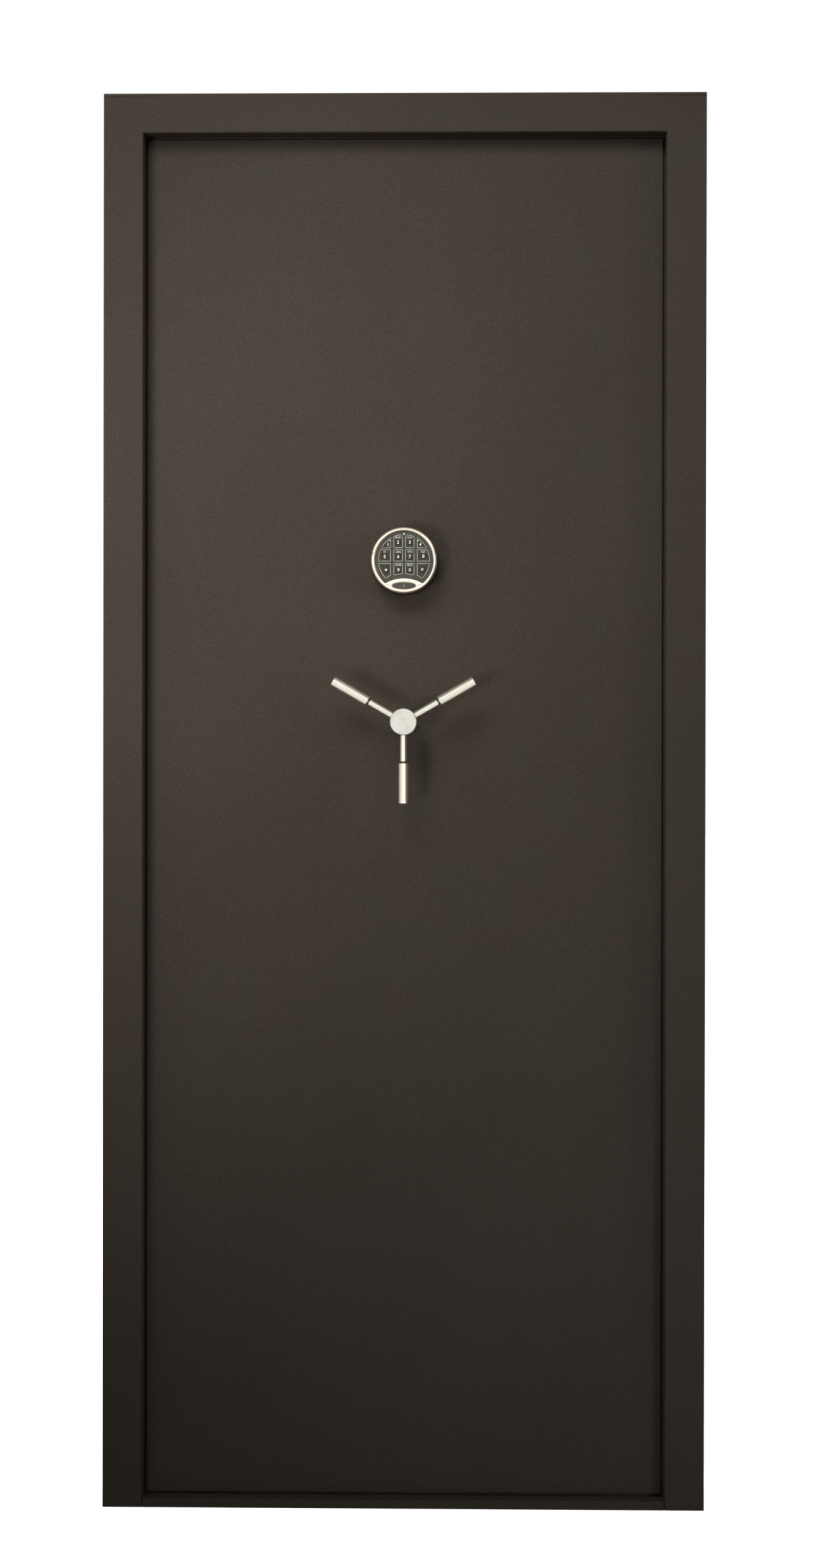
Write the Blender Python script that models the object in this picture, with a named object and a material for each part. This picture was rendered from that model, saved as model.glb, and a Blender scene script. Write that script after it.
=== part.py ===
"""Vault-room door: a steel leaf that swings inwards in a welded wall frame.

The wall's outer face is the plane y = 0 and the floor is z = 0. -Y faces the visitor, +Y goes into the
vault. A round keypad and a three-spoke handle sit on the leaf. The handle turns a scroll cam, whose
spiral slots drive three bolt bars into the channel that the frame forms round the leaf.
"""

import math

import bmesh
import bpy
from mathutils import Matrix, Vector

# ---------------------------------------------------------------- driving dimensions, in metres
TOUCH = 0.0003  # the gap left between pieces that rest on each other
CUT = 0.010  # how far a cutter runs past what it cuts

# Frame: one welded sheet section that runs up both jambs and across the header
FRAME_WIDTH = 0.864
FRAME_HEIGHT = 2.032
FRAME_FACE = 0.057  # width of the face seen round the leaf
FRAME_DEPTH = 0.120  # from the wall's outer face to the back of the frame
FRAME_SHEET = 0.0048
FRAME_OVERLAP = 0.016  # how far the face laps over the wall
FACE_ROUNDING = 0.0025
SHEARED_EDGE = 0.0008
ANCHOR_RADIUS = 0.006
ANCHORS_PER_JAMB = 3
ANCHOR_END_MARGIN = 0.24
THRESHOLD_HEIGHT = 0.0127
THRESHOLD_PLATE = 0.0048
SEAL_THICKNESS = 0.003
SEAL_WIDTH = 0.0045

# Leaf: a front plate on a wider pan, whose shoulder closes against the frame's stop
LEAF_RECESS = 0.0254  # from the frame's face back to the leaf's face
LEAF_GAP = 0.003  # between the front plate and the frame, all round
PLATE_THICKNESS = 0.0048
PLATE_ROUNDING = 0.0012
PAN_SHOULDER = 0.010  # how far the pan is wider than the plate
PAN_SHOULDER_BELOW = 0.007
PAN_SHEET = 0.002
PAN_RETURN = 0.018
COVER_THICKNESS = 0.0016
COVER_INSET = 0.002
SWING_CLEARANCE = 0.009  # between the pan's sides and the frame's rear lip
FIREBOARD_THICKNESS = 0.0127
HARD_PLATE_THICKNESS = 0.006

# Hinges
HINGE_HEIGHTS = {"lower": 0.26, "middle": 1.016, "upper": 1.77}
KNUCKLE_RADIUS = 0.011
HINGE_PIN_RADIUS = 0.006
KNUCKLE_LIFT = 0.001  # between a knuckle and the back of the frame
HINGE_HEIGHT = 0.110
HINGE_STRAP = 0.005
DOOR_STRAP_LENGTH = 0.075
HINGE_PIN_HEAD = 0.003

# Boltwork
BOLT_RADIUS = 0.0127
BOLT_TRAVEL = 0.026
BOLT_CHAMFER = 0.0025
BOLT_LENGTH = 0.076
BOLT_SLACK = 0.0025  # between a thrown bolt and the frame's rear lip
BOLT_HEIGHTS = (0.38, 1.0, 1.62)
TOP_BOLT_OFFSETS = {"left": -0.18, "right": 0.18}
BAR_SHEET = 0.005
BAR_LEG = 0.045
BAR_OVERHANG = 0.05
ARM_HALF_WIDTH = 0.018
ARM_SHEET = 0.004
BOLTWORK_STANDOFF = 0.0085  # between the fireboard and the bars
CAM_SHEET = 0.006
CAM_RIM = 0.009
CAM_PIN_RADIUS = 0.005
CAM_PIN_PROUD = 0.001
CAM_GAP = 0.0013  # between the cam and the bars
CAM_PIN_CIRCLE = 0.034  # the pins' distance from the spindle while the bolts are drawn
CAM_TURN = math.radians(90)
RUNNING_GAP = 0.0005

# Handle
HANDLE_HEIGHT = 1.130
HUB_RADIUS = 0.0193
HUB_FACE = 0.0610  # the hub's outer face above the leaf
HUB_THICKNESS = 0.026
HUB_NECK_RADIUS = 0.0125
COLLAR_RADIUS = 0.0175
COLLAR_HEIGHT = 0.012
SPINDLE_RADIUS = 0.008
BUSH_RADIUS = 0.011
BUSH_FLANGE = 0.0045
SPOKE_ANGLES = {"left": 150, "right": 30, "lower": 270}
ROD_RADIUS = 0.0047
ROD_SOCKET = 0.008
ROD_NECK_START = 0.0563
ROD_NECK_RADIUS = 0.0038
GRIP_START = 0.0590
GRIP_END = 0.1165
GRIP_RADIUS = 0.0072
GRIP_BORE_DEPTH = 0.040
INSIDE_LEVER_LENGTH = 0.150
INSIDE_LEVER_RADIUS = 0.008
INSIDE_HUB_RADIUS = 0.020
INSIDE_HUB_HEIGHT = 0.034

# Keypad and lock
KEYPAD_HEIGHT = 1.362
KEYPAD_RADIUS = 0.0474
KEYPAD_DEPTH = 0.034
KEYPAD_DRAFT = 0.0016  # how much wider the casting is at the leaf than at its bezel
KEYPAD_WALL = 0.0020
KEYPAD_LEDGE = 0.0025  # the rim that the key face rests on
BEZEL_WIDTH = 0.0048
BEZEL_CROWN = 0.0075  # how far the bezel's outside curves back
BEZEL_STEP = 0.0012  # from the bezel's top down to the land inside it
FACE_DEPTH = 0.0035  # how far the key face lies below the bezel's top
FACE_SHEET = 0.003
ARCH_RADIUS = 0.0510  # the arch that closes the key face at the bottom
ARCH_CENTRE = -0.0769
KEY_FIELD_RADIUS = 0.0374
KEY_FIELD_ARCH = 0.0565
KEY_COLUMNS = ((-0.0384, -0.0184), (-0.0151, -0.0015), (0.0015, 0.0151), (0.0184, 0.0384))
KEY_ROWS = ((0.0171, 0.0384), (-0.0021, 0.0156), (-0.0290, -0.0041))
KEY_NAMES = (("1", "2", "3", "4"), ("5", "6", "7", "8"), ("star", "9", "0", "hash"))
KEY_CORNER = 0.0012
KEY_PROUD = 0.0004
KEY_BODY = 0.0040
KEY_CLEARANCE = 0.00035
LAMP_CUT = 0.0027  # the corner that the keys beside the lamp give up
LAMP_CUT_SLOPE = (0.83, 0.56)
BADGE_CENTRE = -0.0366
BADGE_HALF = (0.0176, 0.0054)
BADGE_SHEET = 0.0012
BOARD_SHEET = 0.0016
BATTERY_SIZE = (0.0485, 0.0170, 0.0265)
CABLE_RADIUS = 0.00175
CABLE_BEND = 0.0075
LOCK_SIZE = (0.085, 0.030, 0.061)
LOCK_BOLT_SIZE = (0.030, 0.012, 0.014)
LOCK_BOLT_TRAVEL = 0.008
LOCK_WALL = 0.0025

# ---------------------------------------------------------------- places worked out from them
OPENING_HALF = FRAME_WIDTH / 2 - FRAME_FACE
OPENING_TOP = FRAME_HEIGHT - FRAME_FACE
FRAME_FRONT = -FRAME_SHEET
PLATE_FRONT = FRAME_FRONT + LEAF_RECESS
PLATE_BACK = PLATE_FRONT + PLATE_THICKNESS
PAN_FRONT = PLATE_BACK + TOUCH
STOP_BACK = PAN_FRONT - SEAL_THICKNESS - 2 * TOUCH
WEB_OUTER = FRAME_FACE - FRAME_OVERLAP
REAR_LIP = PAN_SHOULDER - LEAF_GAP + SWING_CLEARANCE
PLATE_HALF = OPENING_HALF - LEAF_GAP
PLATE_LOW = THRESHOLD_HEIGHT + LEAF_GAP
PLATE_TOP = OPENING_TOP - LEAF_GAP
PAN_HALF = PLATE_HALF + PAN_SHOULDER
PAN_LOW = PLATE_LOW - PAN_SHOULDER_BELOW
PAN_TOP = PLATE_TOP + PAN_SHOULDER
PAN_REAR = FRAME_DEPTH - COVER_THICKNESS - TOUCH
PAN_FLOOR = PAN_FRONT + PAN_SHEET
BOARD_FRONT = PAN_FLOOR + TOUCH
FIREBOARD_BACK = BOARD_FRONT + FIREBOARD_THICKNESS
HARD_PLATE_BACK = BOARD_FRONT + HARD_PLATE_THICKNESS
BAR_FRONT = FIREBOARD_BACK + BOLTWORK_STANDOFF
BAR_BACK = BAR_FRONT + BAR_SHEET
BOLT_DEPTH = FRAME_DEPTH - FRAME_SHEET - BOLT_SLACK - BOLT_RADIUS
BOLT_TIP = PAN_HALF - 0.001
TOP_BOLT_TIP = PAN_TOP - 0.001
BAR_OUTER = BOLT_TIP - BOLT_LENGTH - TOUCH
TOP_BAR_OUTER = TOP_BOLT_TIP - BOLT_LENGTH - TOUCH
CAM_FRONT = BAR_BACK + CAM_GAP
CAM_BACK = CAM_FRONT + CAM_SHEET
CAM_RADIUS = CAM_PIN_CIRCLE + BOLT_TRAVEL + CAM_PIN_RADIUS + CAM_RIM
ARM_START = CAM_PIN_CIRCLE - 2 * CAM_PIN_RADIUS
HINGE_AXIS = Vector(
    (-(PAN_HALF + SWING_CLEARANCE / 2), FRAME_DEPTH + KNUCKLE_RADIUS + KNUCKLE_LIFT, 0.0)
)
SPOKE_DEPTH = PLATE_FRONT - (HUB_FACE - HUB_THICKNESS / 2)
LOCK_CORNER = Vector((-ARM_HALF_WIDTH - 0.010 - LOCK_SIZE[0], HARD_PLATE_BACK + TOUCH, 1.310))
LOCK_BOLT_HEIGHT = LOCK_CORNER.z + LOCK_SIZE[2] / 2
SERVICE_WINDOW = (LOCK_CORNER.x - 0.012, 0.075, HANDLE_HEIGHT - 0.075, LOCK_CORNER.z + 0.105)


# ---------------------------------------------------------------- tools
def material(name, colour, roughness, metallic=0.0):
    made = bpy.data.materials.new(name)
    made.use_nodes = True
    shader = made.node_tree.nodes["Principled BSDF"]
    shader.inputs["Base Color"].default_value = (*colour, 1.0)
    shader.inputs["Roughness"].default_value = roughness
    shader.inputs["Metallic"].default_value = metallic
    return made


def origin_of(obj):
    """World place of an unturned object."""
    return obj.location + (origin_of(obj.parent) if obj.parent else Vector())


def axis_empty(name, at, parent=None):
    made = bpy.data.objects.new(name, None)
    bpy.context.scene.collection.objects.link(made)
    made.parent = parent
    made.location = Vector(at) - (origin_of(parent) if parent else Vector())
    return made


def add(name, bm, at, finish, parent=None, turn=None):
    """Makes an object of a bmesh whose points are counted from `at`."""
    bmesh.ops.recalc_face_normals(bm, faces=bm.faces)
    mesh = bpy.data.meshes.new(name)
    bm.to_mesh(mesh)
    bm.free()
    mesh.shade_smooth()
    mesh.set_sharp_from_angle(angle=math.radians(35))
    made = bpy.data.objects.new(name, mesh)
    bpy.context.scene.collection.objects.link(made)
    if finish:
        mesh.materials.append(finish)
    made.parent = parent
    made.location = Vector(at) - (origin_of(parent) if parent else Vector())
    if turn:
        made.rotation_mode = "QUATERNION"
        made.rotation_quaternion = turn
    return made


def rounded(points, steps=4):
    """An outline of (u, v, radius) corners with each corner turned into an arc of its radius."""
    outline = []
    for i, (u, v, radius) in enumerate(points):
        corner = Vector((u, v))
        before = Vector(points[i - 1][:2]) - corner
        after = Vector(points[(i + 1) % len(points)][:2]) - corner
        if radius <= 0:
            outline.append(corner)
            continue
        half = before.angle(after) / 2
        reach = min(radius / math.tan(half), 0.49 * before.length, 0.49 * after.length)
        centre = corner + (before.normalized() + after.normalized()).normalized() * (
            reach / math.cos(half)
        )
        start = corner + before.normalized() * reach - centre
        end = corner + after.normalized() * reach - centre
        sweep = start.angle_signed(end)
        for k in range(steps + 1):
            outline.append(centre + Matrix.Rotation(-sweep * k / steps, 2) @ start)
    return outline


def circle(radius, steps, centre=(0.0, 0.0)):
    return [
        Vector(centre) + radius * Vector((math.cos(a), math.sin(a)))
        for a in (2 * math.pi * k / steps for k in range(steps))
    ]


def loft_mesh(rings):
    """Skins rings of equal length, with a face on each end."""
    bm = bmesh.new()
    loops = [[bm.verts.new(point) for point in ring] for ring in rings]
    for low, high in zip(loops, loops[1:]):
        for k, vert in enumerate(low):
            after = (k + 1) % len(low)
            bm.faces.new((vert, low[after], high[after], high[k]))
    bm.faces.new(loops[0])
    bm.faces.new(loops[-1])
    return bm


LAY = {
    "X": lambda u, v, w: Vector((w, u, v)),
    "Y": lambda u, v, w: Vector((u, w, v)),
    "Z": lambda u, v, w: Vector((u, v, w)),
}


def prism(name, outline, axis, start, end, finish, parent=None, at=None, edge=0.0):
    """Extrudes an outline along an axis. `edge` chamfers the rim at the `start` end."""
    middle = Vector((sum(p[0] for p in outline), sum(p[1] for p in outline))) / len(outline)
    origin = Vector(at) if at else LAY[axis](*middle, (start + end) / 2)
    levels = [(start, 0.0), (end, 0.0)]
    if edge:
        toward = math.copysign(edge, end - start)
        levels = [(start, edge), (start + toward, 0.0), (end, 0.0)]
    rings = []
    for along, inset in levels:
        ring = []
        for point in outline:
            inward = (middle - Vector(point)).normalized() * inset
            ring.append(LAY[axis](point[0] + inward.x, point[1] + inward.y, along) - origin)
        rings.append(ring)
    return add(name, loft_mesh(rings), origin, finish, parent)


def slab(name, low, high, finish, parent=None, at=None, chamfer=0.0):
    """A box between two corners."""
    low, high = Vector(low), Vector(high)
    origin = Vector(at) if at else (low + high) / 2
    bm = bmesh.new()
    bmesh.ops.create_cube(bm, size=1.0)
    bmesh.ops.scale(bm, vec=high - low, verts=bm.verts)
    bmesh.ops.translate(bm, vec=(low + high) / 2 - origin, verts=bm.verts)
    if chamfer:
        bmesh.ops.bevel(bm, geom=bm.edges, offset=chamfer, segments=1, affect="EDGES")
    return add(name, bm, origin, finish, parent)


def turned(name, profile, at, axis, finish, parent=None, steps=32, bored=False):
    """Spins a profile of (radius, along) pairs about an axis. A bored profile closes on itself."""
    bm = bmesh.new()
    verts = [bm.verts.new((radius, 0.0, along)) for radius, along in profile]
    edges = [bm.edges.new(pair) for pair in zip(verts, verts[1:])]
    if bored:
        edges.append(bm.edges.new((verts[-1], verts[0])))
    bmesh.ops.spin(
        bm, geom=verts + edges, cent=(0, 0, 0), axis=(0, 0, 1), dvec=(0, 0, 0),
        angle=2 * math.pi, steps=steps, use_merge=True,
    )
    bmesh.ops.remove_doubles(bm, verts=bm.verts, dist=1e-6)
    turn = Vector((0, 0, 1)).rotation_difference(Vector(axis))
    return add(name, bm, at, finish, parent, turn)


def combine(target, tool, operation):
    """Cuts `tool` from the target, or joins it on, and keeps the tool out of the render."""
    tool.hide_render = True
    tool.display_type = "WIRE"
    modifier = target.modifiers.new(tool.name, "BOOLEAN")
    modifier.operation = operation
    modifier.solver = "EXACT"
    modifier.object = tool


def drill(target, at, axis, radius, length, steps=24):
    """Cuts a round hole centred on `at`."""
    name = f"{target.name}_drill_{len(target.modifiers)}"
    ends = [(0, -length / 2), (radius, -length / 2), (radius, length / 2), (0, length / 2)]
    tool = turned(name, ends, at, axis, None, steps=steps)
    combine(target, tool, "DIFFERENCE")


def mill(target, low, high):
    """Cuts a box-shaped pocket."""
    tool = slab(f"{target.name}_mill_{len(target.modifiers)}", low, high, None)
    combine(target, tool, "DIFFERENCE")


def weld(target, tool):
    combine(target, tool, "UNION")


# ---------------------------------------------------------------- frame
def around_opening(section):
    """Rings that carry a (outward, depth) section up a jamb, over the header and down again."""
    stations = (
        (-OPENING_HALF, 0.0, -1, 0),
        (-OPENING_HALF, OPENING_TOP, -1, 1),
        (OPENING_HALF, OPENING_TOP, 1, 1),
        (OPENING_HALF, 0.0, 1, 0),
    )
    return [
        [Vector((x + side * u, y, z + rise * u)) for u, y in section]
        for x, z, side, rise in stations
    ]


def build_frame(finishes):
    sheet = FRAME_SHEET
    section = rounded(
        [
            (FRAME_FACE, FRAME_FRONT, SHEARED_EDGE),
            (0.0, FRAME_FRONT, FACE_ROUNDING),
            (0.0, STOP_BACK, SHEARED_EDGE),
            (WEB_OUTER - sheet, STOP_BACK, 0.0),
            (WEB_OUTER - sheet, FRAME_DEPTH - sheet, 0.0),
            (REAR_LIP, FRAME_DEPTH - sheet, SHEARED_EDGE),
            (REAR_LIP, FRAME_DEPTH, SHEARED_EDGE),
            (WEB_OUTER, FRAME_DEPTH, sheet / 2),
            (WEB_OUTER, STOP_BACK - sheet, sheet / 2),
            (sheet, STOP_BACK - sheet, 0.0),
            (sheet, 0.0, 0.0),
            (FRAME_FACE, 0.0, SHEARED_EDGE),
        ],
        steps=3,
    )
    frame = add("door_frame", loft_mesh(around_opening(section)), (0, 0, 0), finishes["paint"])
    middle_depth = (STOP_BACK + FRAME_DEPTH) / 2
    rise = (OPENING_TOP - 2 * ANCHOR_END_MARGIN) / (ANCHORS_PER_JAMB - 1)
    for side in (-1, 1):
        for k in range(ANCHORS_PER_JAMB):
            place = (
                side * (OPENING_HALF + WEB_OUTER - sheet / 2),
                middle_depth,
                ANCHOR_END_MARGIN + k * rise,
            )
            drill(frame, place, (1, 0, 0), ANCHOR_RADIUS, 3 * sheet, steps=18)


def build_threshold(finishes):
    section = rounded(
        [
            (FRAME_FRONT, 0.0, 0.0),
            (FRAME_FRONT, THRESHOLD_HEIGHT, SHEARED_EDGE),
            (STOP_BACK, THRESHOLD_HEIGHT, SHEARED_EDGE),
            (STOP_BACK, THRESHOLD_PLATE, 0.0),
            (FRAME_DEPTH, THRESHOLD_PLATE, SHEARED_EDGE),
            (FRAME_DEPTH, 0.0, 0.0),
        ],
        steps=3,
    )
    half = OPENING_HALF - TOUCH
    prism("threshold", section, "X", -half, half, finishes["paint"])


def build_seal(finishes):
    inner = PAN_SHOULDER - LEAF_GAP - TOUCH - SEAL_WIDTH
    low, high = STOP_BACK + TOUCH, PAN_FRONT - TOUCH
    section = [(inner, low), (inner + SEAL_WIDTH, low), (inner + SEAL_WIDTH, high), (inner, high)]
    rings = around_opening(section)
    for ring in (rings[0], rings[-1]):
        for point in ring:
            point.z = THRESHOLD_HEIGHT + TOUCH
    add("smoke_seal", loft_mesh(rings), (0, 0, 0), finishes["rubber"])


# ---------------------------------------------------------------- hinges
def knuckle_outline(reach):
    """A knuckle with its strap, seen from above; `reach` is the strap's end, left or right of the pin."""
    strap_low = FRAME_DEPTH + TOUCH
    strap_high = strap_low + HINGE_STRAP
    side = math.copysign(1, reach)
    steps = 20
    start = math.asin(-(HINGE_AXIS.y - strap_low - KNUCKLE_LIFT) / KNUCKLE_RADIUS)
    end = math.asin(-(HINGE_AXIS.y - strap_high) / KNUCKLE_RADIUS)
    sweep = 2 * math.pi - (end - start)
    arc = []
    for k in range(steps + 1):
        angle = end + sweep * k / steps
        arc.append(
            (
                HINGE_AXIS.x + side * KNUCKLE_RADIUS * math.cos(angle),
                HINGE_AXIS.y + KNUCKLE_RADIUS * math.sin(angle),
            )
        )
    tail = HINGE_AXIS.x + reach
    return arc + [(arc[-1][0], strap_low), (tail, strap_low), (tail, strap_high)]


def build_hinge(label, height, finishes, door):
    third = HINGE_HEIGHT / 3
    low, high = height - HINGE_HEIGHT / 2, height + HINGE_HEIGHT / 2
    centre = Vector((HINGE_AXIS.x, HINGE_AXIS.y, height))
    swing = KNUCKLE_RADIUS + 2 * TOUCH
    lip_reach = -(OPENING_HALF + WEB_OUTER - FRAME_SHEET + HINGE_AXIS.x)

    frame_half = prism(
        f"{label}_hinge_frame_half", knuckle_outline(lip_reach), "Z", low, high,
        finishes["paint"], at=centre,
    )
    mill(
        frame_half,
        (centre.x - swing, FRAME_DEPTH - CUT, low + third - TOUCH),
        (centre.x + 2 * swing, centre.y + swing, high - third + TOUCH),
    )
    drill(frame_half, centre, (0, 0, 1), HINGE_PIN_RADIUS + TOUCH, 2 * HINGE_HEIGHT)

    door_half = prism(
        f"{label}_hinge_door_half", knuckle_outline(DOOR_STRAP_LENGTH), "Z", low, high,
        finishes["paint"], parent=door, at=centre,
    )
    for bottom, top in ((low - CUT, low + third + TOUCH), (high - third - TOUCH, high + CUT)):
        mill(
            door_half,
            (centre.x - 2 * swing, FRAME_DEPTH - CUT, bottom),
            (centre.x + swing, centre.y + swing, top),
        )
    drill(door_half, centre, (0, 0, 1), HINGE_PIN_RADIUS + TOUCH, 2 * HINGE_HEIGHT)

    shank = HINGE_HEIGHT / 2 + TOUCH
    head = HINGE_PIN_RADIUS + 0.003
    profile = [
        (0, -shank),
        (HINGE_PIN_RADIUS - 0.001, -shank),
        (HINGE_PIN_RADIUS, -shank + 0.001),
        (HINGE_PIN_RADIUS, shank),
        (head, shank),
        (head, shank + HINGE_PIN_HEAD - 0.001),
        (head - 0.001, shank + HINGE_PIN_HEAD),
        (0, shank + HINGE_PIN_HEAD),
    ]
    turned(f"{label}_hinge_pin", profile, centre, (0, 0, 1), finishes["steel"], steps=20)


# ---------------------------------------------------------------- leaf
def rectangle(x_half, low, high, depth):
    return [
        Vector((-x_half, depth, low)),
        Vector((x_half, depth, low)),
        Vector((x_half, depth, high)),
        Vector((-x_half, depth, high)),
    ]


def leaf_sheet(name, x_half, low, high, front, back, finish, parent, edge=0.0):
    """A flat sheet of the leaf, with an optional rounded front edge."""
    levels = [(front, 0.0), (back, 0.0)]
    if edge:
        levels = [(front, edge), (front + 0.3 * edge, 0.3 * edge), (front + edge, 0.0), (back, 0.0)]
    origin = Vector((0, (front + back) / 2, (low + high) / 2))
    rings = []
    for depth, inset in levels:
        ring = rectangle(x_half - inset, low + inset, high - inset, depth)
        rings.append([point - origin for point in ring])
    return add(name, loft_mesh(rings), origin, finish, parent)


def build_leaf(finishes, door):
    plate = leaf_sheet(
        "front_plate", PLATE_HALF, PLATE_LOW, PLATE_TOP, PLATE_FRONT, PLATE_BACK,
        finishes["paint"], door, edge=PLATE_ROUNDING,
    )
    mouth = PAN_SHEET + PAN_RETURN
    levels = (
        (PAN_FRONT, 0.0),
        (PAN_REAR, 0.0),
        (PAN_REAR, mouth),
        (PAN_REAR - PAN_SHEET, mouth),
        (PAN_REAR - PAN_SHEET, PAN_SHEET),
        (PAN_FLOOR, PAN_SHEET),
    )
    origin = Vector((0, (PAN_FRONT + PAN_REAR) / 2, (PAN_LOW + PAN_TOP) / 2))
    rings = []
    for depth, inset in levels:
        ring = rectangle(PAN_HALF - inset, PAN_LOW + inset, PAN_TOP - inset, depth)
        rings.append([point - origin for point in ring])
    pan = add("door_pan", loft_mesh(rings), origin, finishes["paint"], door)
    inner = PAN_SHEET + TOUCH
    board = leaf_sheet(
        "fireboard", PAN_HALF - inner, PAN_LOW + inner, PAN_TOP - inner,
        BOARD_FRONT, FIREBOARD_BACK, finishes["board"], door,
    )
    cover = leaf_sheet(
        "rear_cover", PAN_HALF - COVER_INSET, PAN_LOW + COVER_INSET, PAN_TOP - COVER_INSET,
        FRAME_DEPTH - COVER_THICKNESS, FRAME_DEPTH, finishes["paint"], door,
    )
    left, right, low, high = SERVICE_WINDOW
    mill(board, (left, 0, low), (right, FRAME_DEPTH, high))
    hard_plate = slab(
        "hard_plate",
        (left + TOUCH, BOARD_FRONT, low + TOUCH),
        (right - TOUCH, HARD_PLATE_BACK, high - TOUCH),
        finishes["steel"], door,
    )
    through = 2 * (HARD_PLATE_BACK - PLATE_FRONT + CUT)
    for sheet in (plate, pan, hard_plate):
        drill(sheet, (0, PAN_FRONT, HANDLE_HEIGHT), (0, 1, 0), BUSH_RADIUS + RUNNING_GAP, through)
        drill(sheet, (0, PAN_FRONT, KEYPAD_HEIGHT), (0, 1, 0), 2 * CABLE_RADIUS, through, 16)
    drill(cover, (0, FRAME_DEPTH, HANDLE_HEIGHT), (0, 1, 0), SPINDLE_RADIUS + 0.002, 2 * CUT)
    bore = BOLT_RADIUS + RUNNING_GAP
    for height in BOLT_HEIGHTS:
        for side in (-1, 1):
            drill(pan, (side * PAN_HALF, BOLT_DEPTH, height), (1, 0, 0), bore, 2 * CUT)
    for offset in TOP_BOLT_OFFSETS.values():
        drill(pan, (offset, BOLT_DEPTH, PAN_TOP), (0, 0, 1), bore, 2 * CUT)
    flange_back = HARD_PLATE_BACK + TOUCH + BUSH_FLANGE
    bush_profile = [
        (SPINDLE_RADIUS + RUNNING_GAP, PLATE_FRONT + TOUCH),
        (BUSH_RADIUS, PLATE_FRONT + TOUCH),
        (BUSH_RADIUS, HARD_PLATE_BACK + TOUCH),
        (BUSH_RADIUS + BUSH_FLANGE, HARD_PLATE_BACK + TOUCH),
        (BUSH_RADIUS + BUSH_FLANGE, flange_back),
        (SPINDLE_RADIUS + RUNNING_GAP, flange_back),
    ]
    turned(
        "spindle_bush", bush_profile, (0, 0, HANDLE_HEIGHT), (0, 1, 0), finishes["brass"], door,
        steps=24, bored=True,
    )


# ---------------------------------------------------------------- boltwork
def bolt_profile():
    return [
        (0, 0),
        (BOLT_RADIUS, 0),
        (BOLT_RADIUS, BOLT_LENGTH - BOLT_CHAMFER),
        (BOLT_RADIUS - BOLT_CHAMFER, BOLT_LENGTH),
        (0, BOLT_LENGTH),
    ]


def bar_section(side):
    """The L of a side bar seen from above: one leg lies behind the fireboard, one carries the bolts."""
    outer, inner = BAR_OUTER, BAR_OUTER - BAR_SHEET
    tail = BOLT_DEPTH + BOLT_RADIUS
    return [
        (side * (outer - BAR_LEG), BAR_FRONT),
        (side * outer, BAR_FRONT),
        (side * outer, tail),
        (side * inner, tail),
        (side * inner, BAR_BACK),
        (side * (outer - BAR_LEG), BAR_BACK),
    ]


def follower_pin(bar, place):
    """The pin that rides in the cam's slot."""
    start = (BAR_FRONT + BAR_BACK) / 2
    length = CAM_BACK + CAM_PIN_PROUD - start
    profile = [(0, 0), (CAM_PIN_RADIUS, 0), (CAM_PIN_RADIUS, length), (0, length)]
    at = (place[0], start, place[1])
    weld(bar, turned(f"{bar.name}_pin", profile, at, (0, 1, 0), None, steps=20))


def build_side_bolts(label, side, finishes, door):
    slide = axis_empty(f"{label}_bolts_slide", (side * BAR_OUTER, BAR_FRONT, HANDLE_HEIGHT), door)
    low, high = BOLT_HEIGHTS[0] - BAR_OVERHANG, BOLT_HEIGHTS[-1] + BAR_OVERHANG
    bar = prism(
        f"{label}_bolt_bar", bar_section(side), "Z", low, high, finishes["zinc"], slide
    )
    arm_front = (BAR_FRONT + BAR_BACK - ARM_SHEET) / 2
    ends = sorted((side * ARM_START, side * (BAR_OUTER - BAR_LEG / 2)))
    arm = slab(
        f"{label}_arm",
        (ends[0], arm_front, HANDLE_HEIGHT - ARM_HALF_WIDTH),
        (ends[1], arm_front + ARM_SHEET, HANDLE_HEIGHT + ARM_HALF_WIDTH),
        None,
    )
    weld(bar, arm)
    follower_pin(bar, (side * CAM_PIN_CIRCLE, HANDLE_HEIGHT))
    for number, height in enumerate(BOLT_HEIGHTS, start=1):
        turned(
            f"{label}_bolt_{number}", bolt_profile(),
            (side * (BAR_OUTER + TOUCH), BOLT_DEPTH, height), (side, 0, 0),
            finishes["chrome"], slide, steps=24,
        )


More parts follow.
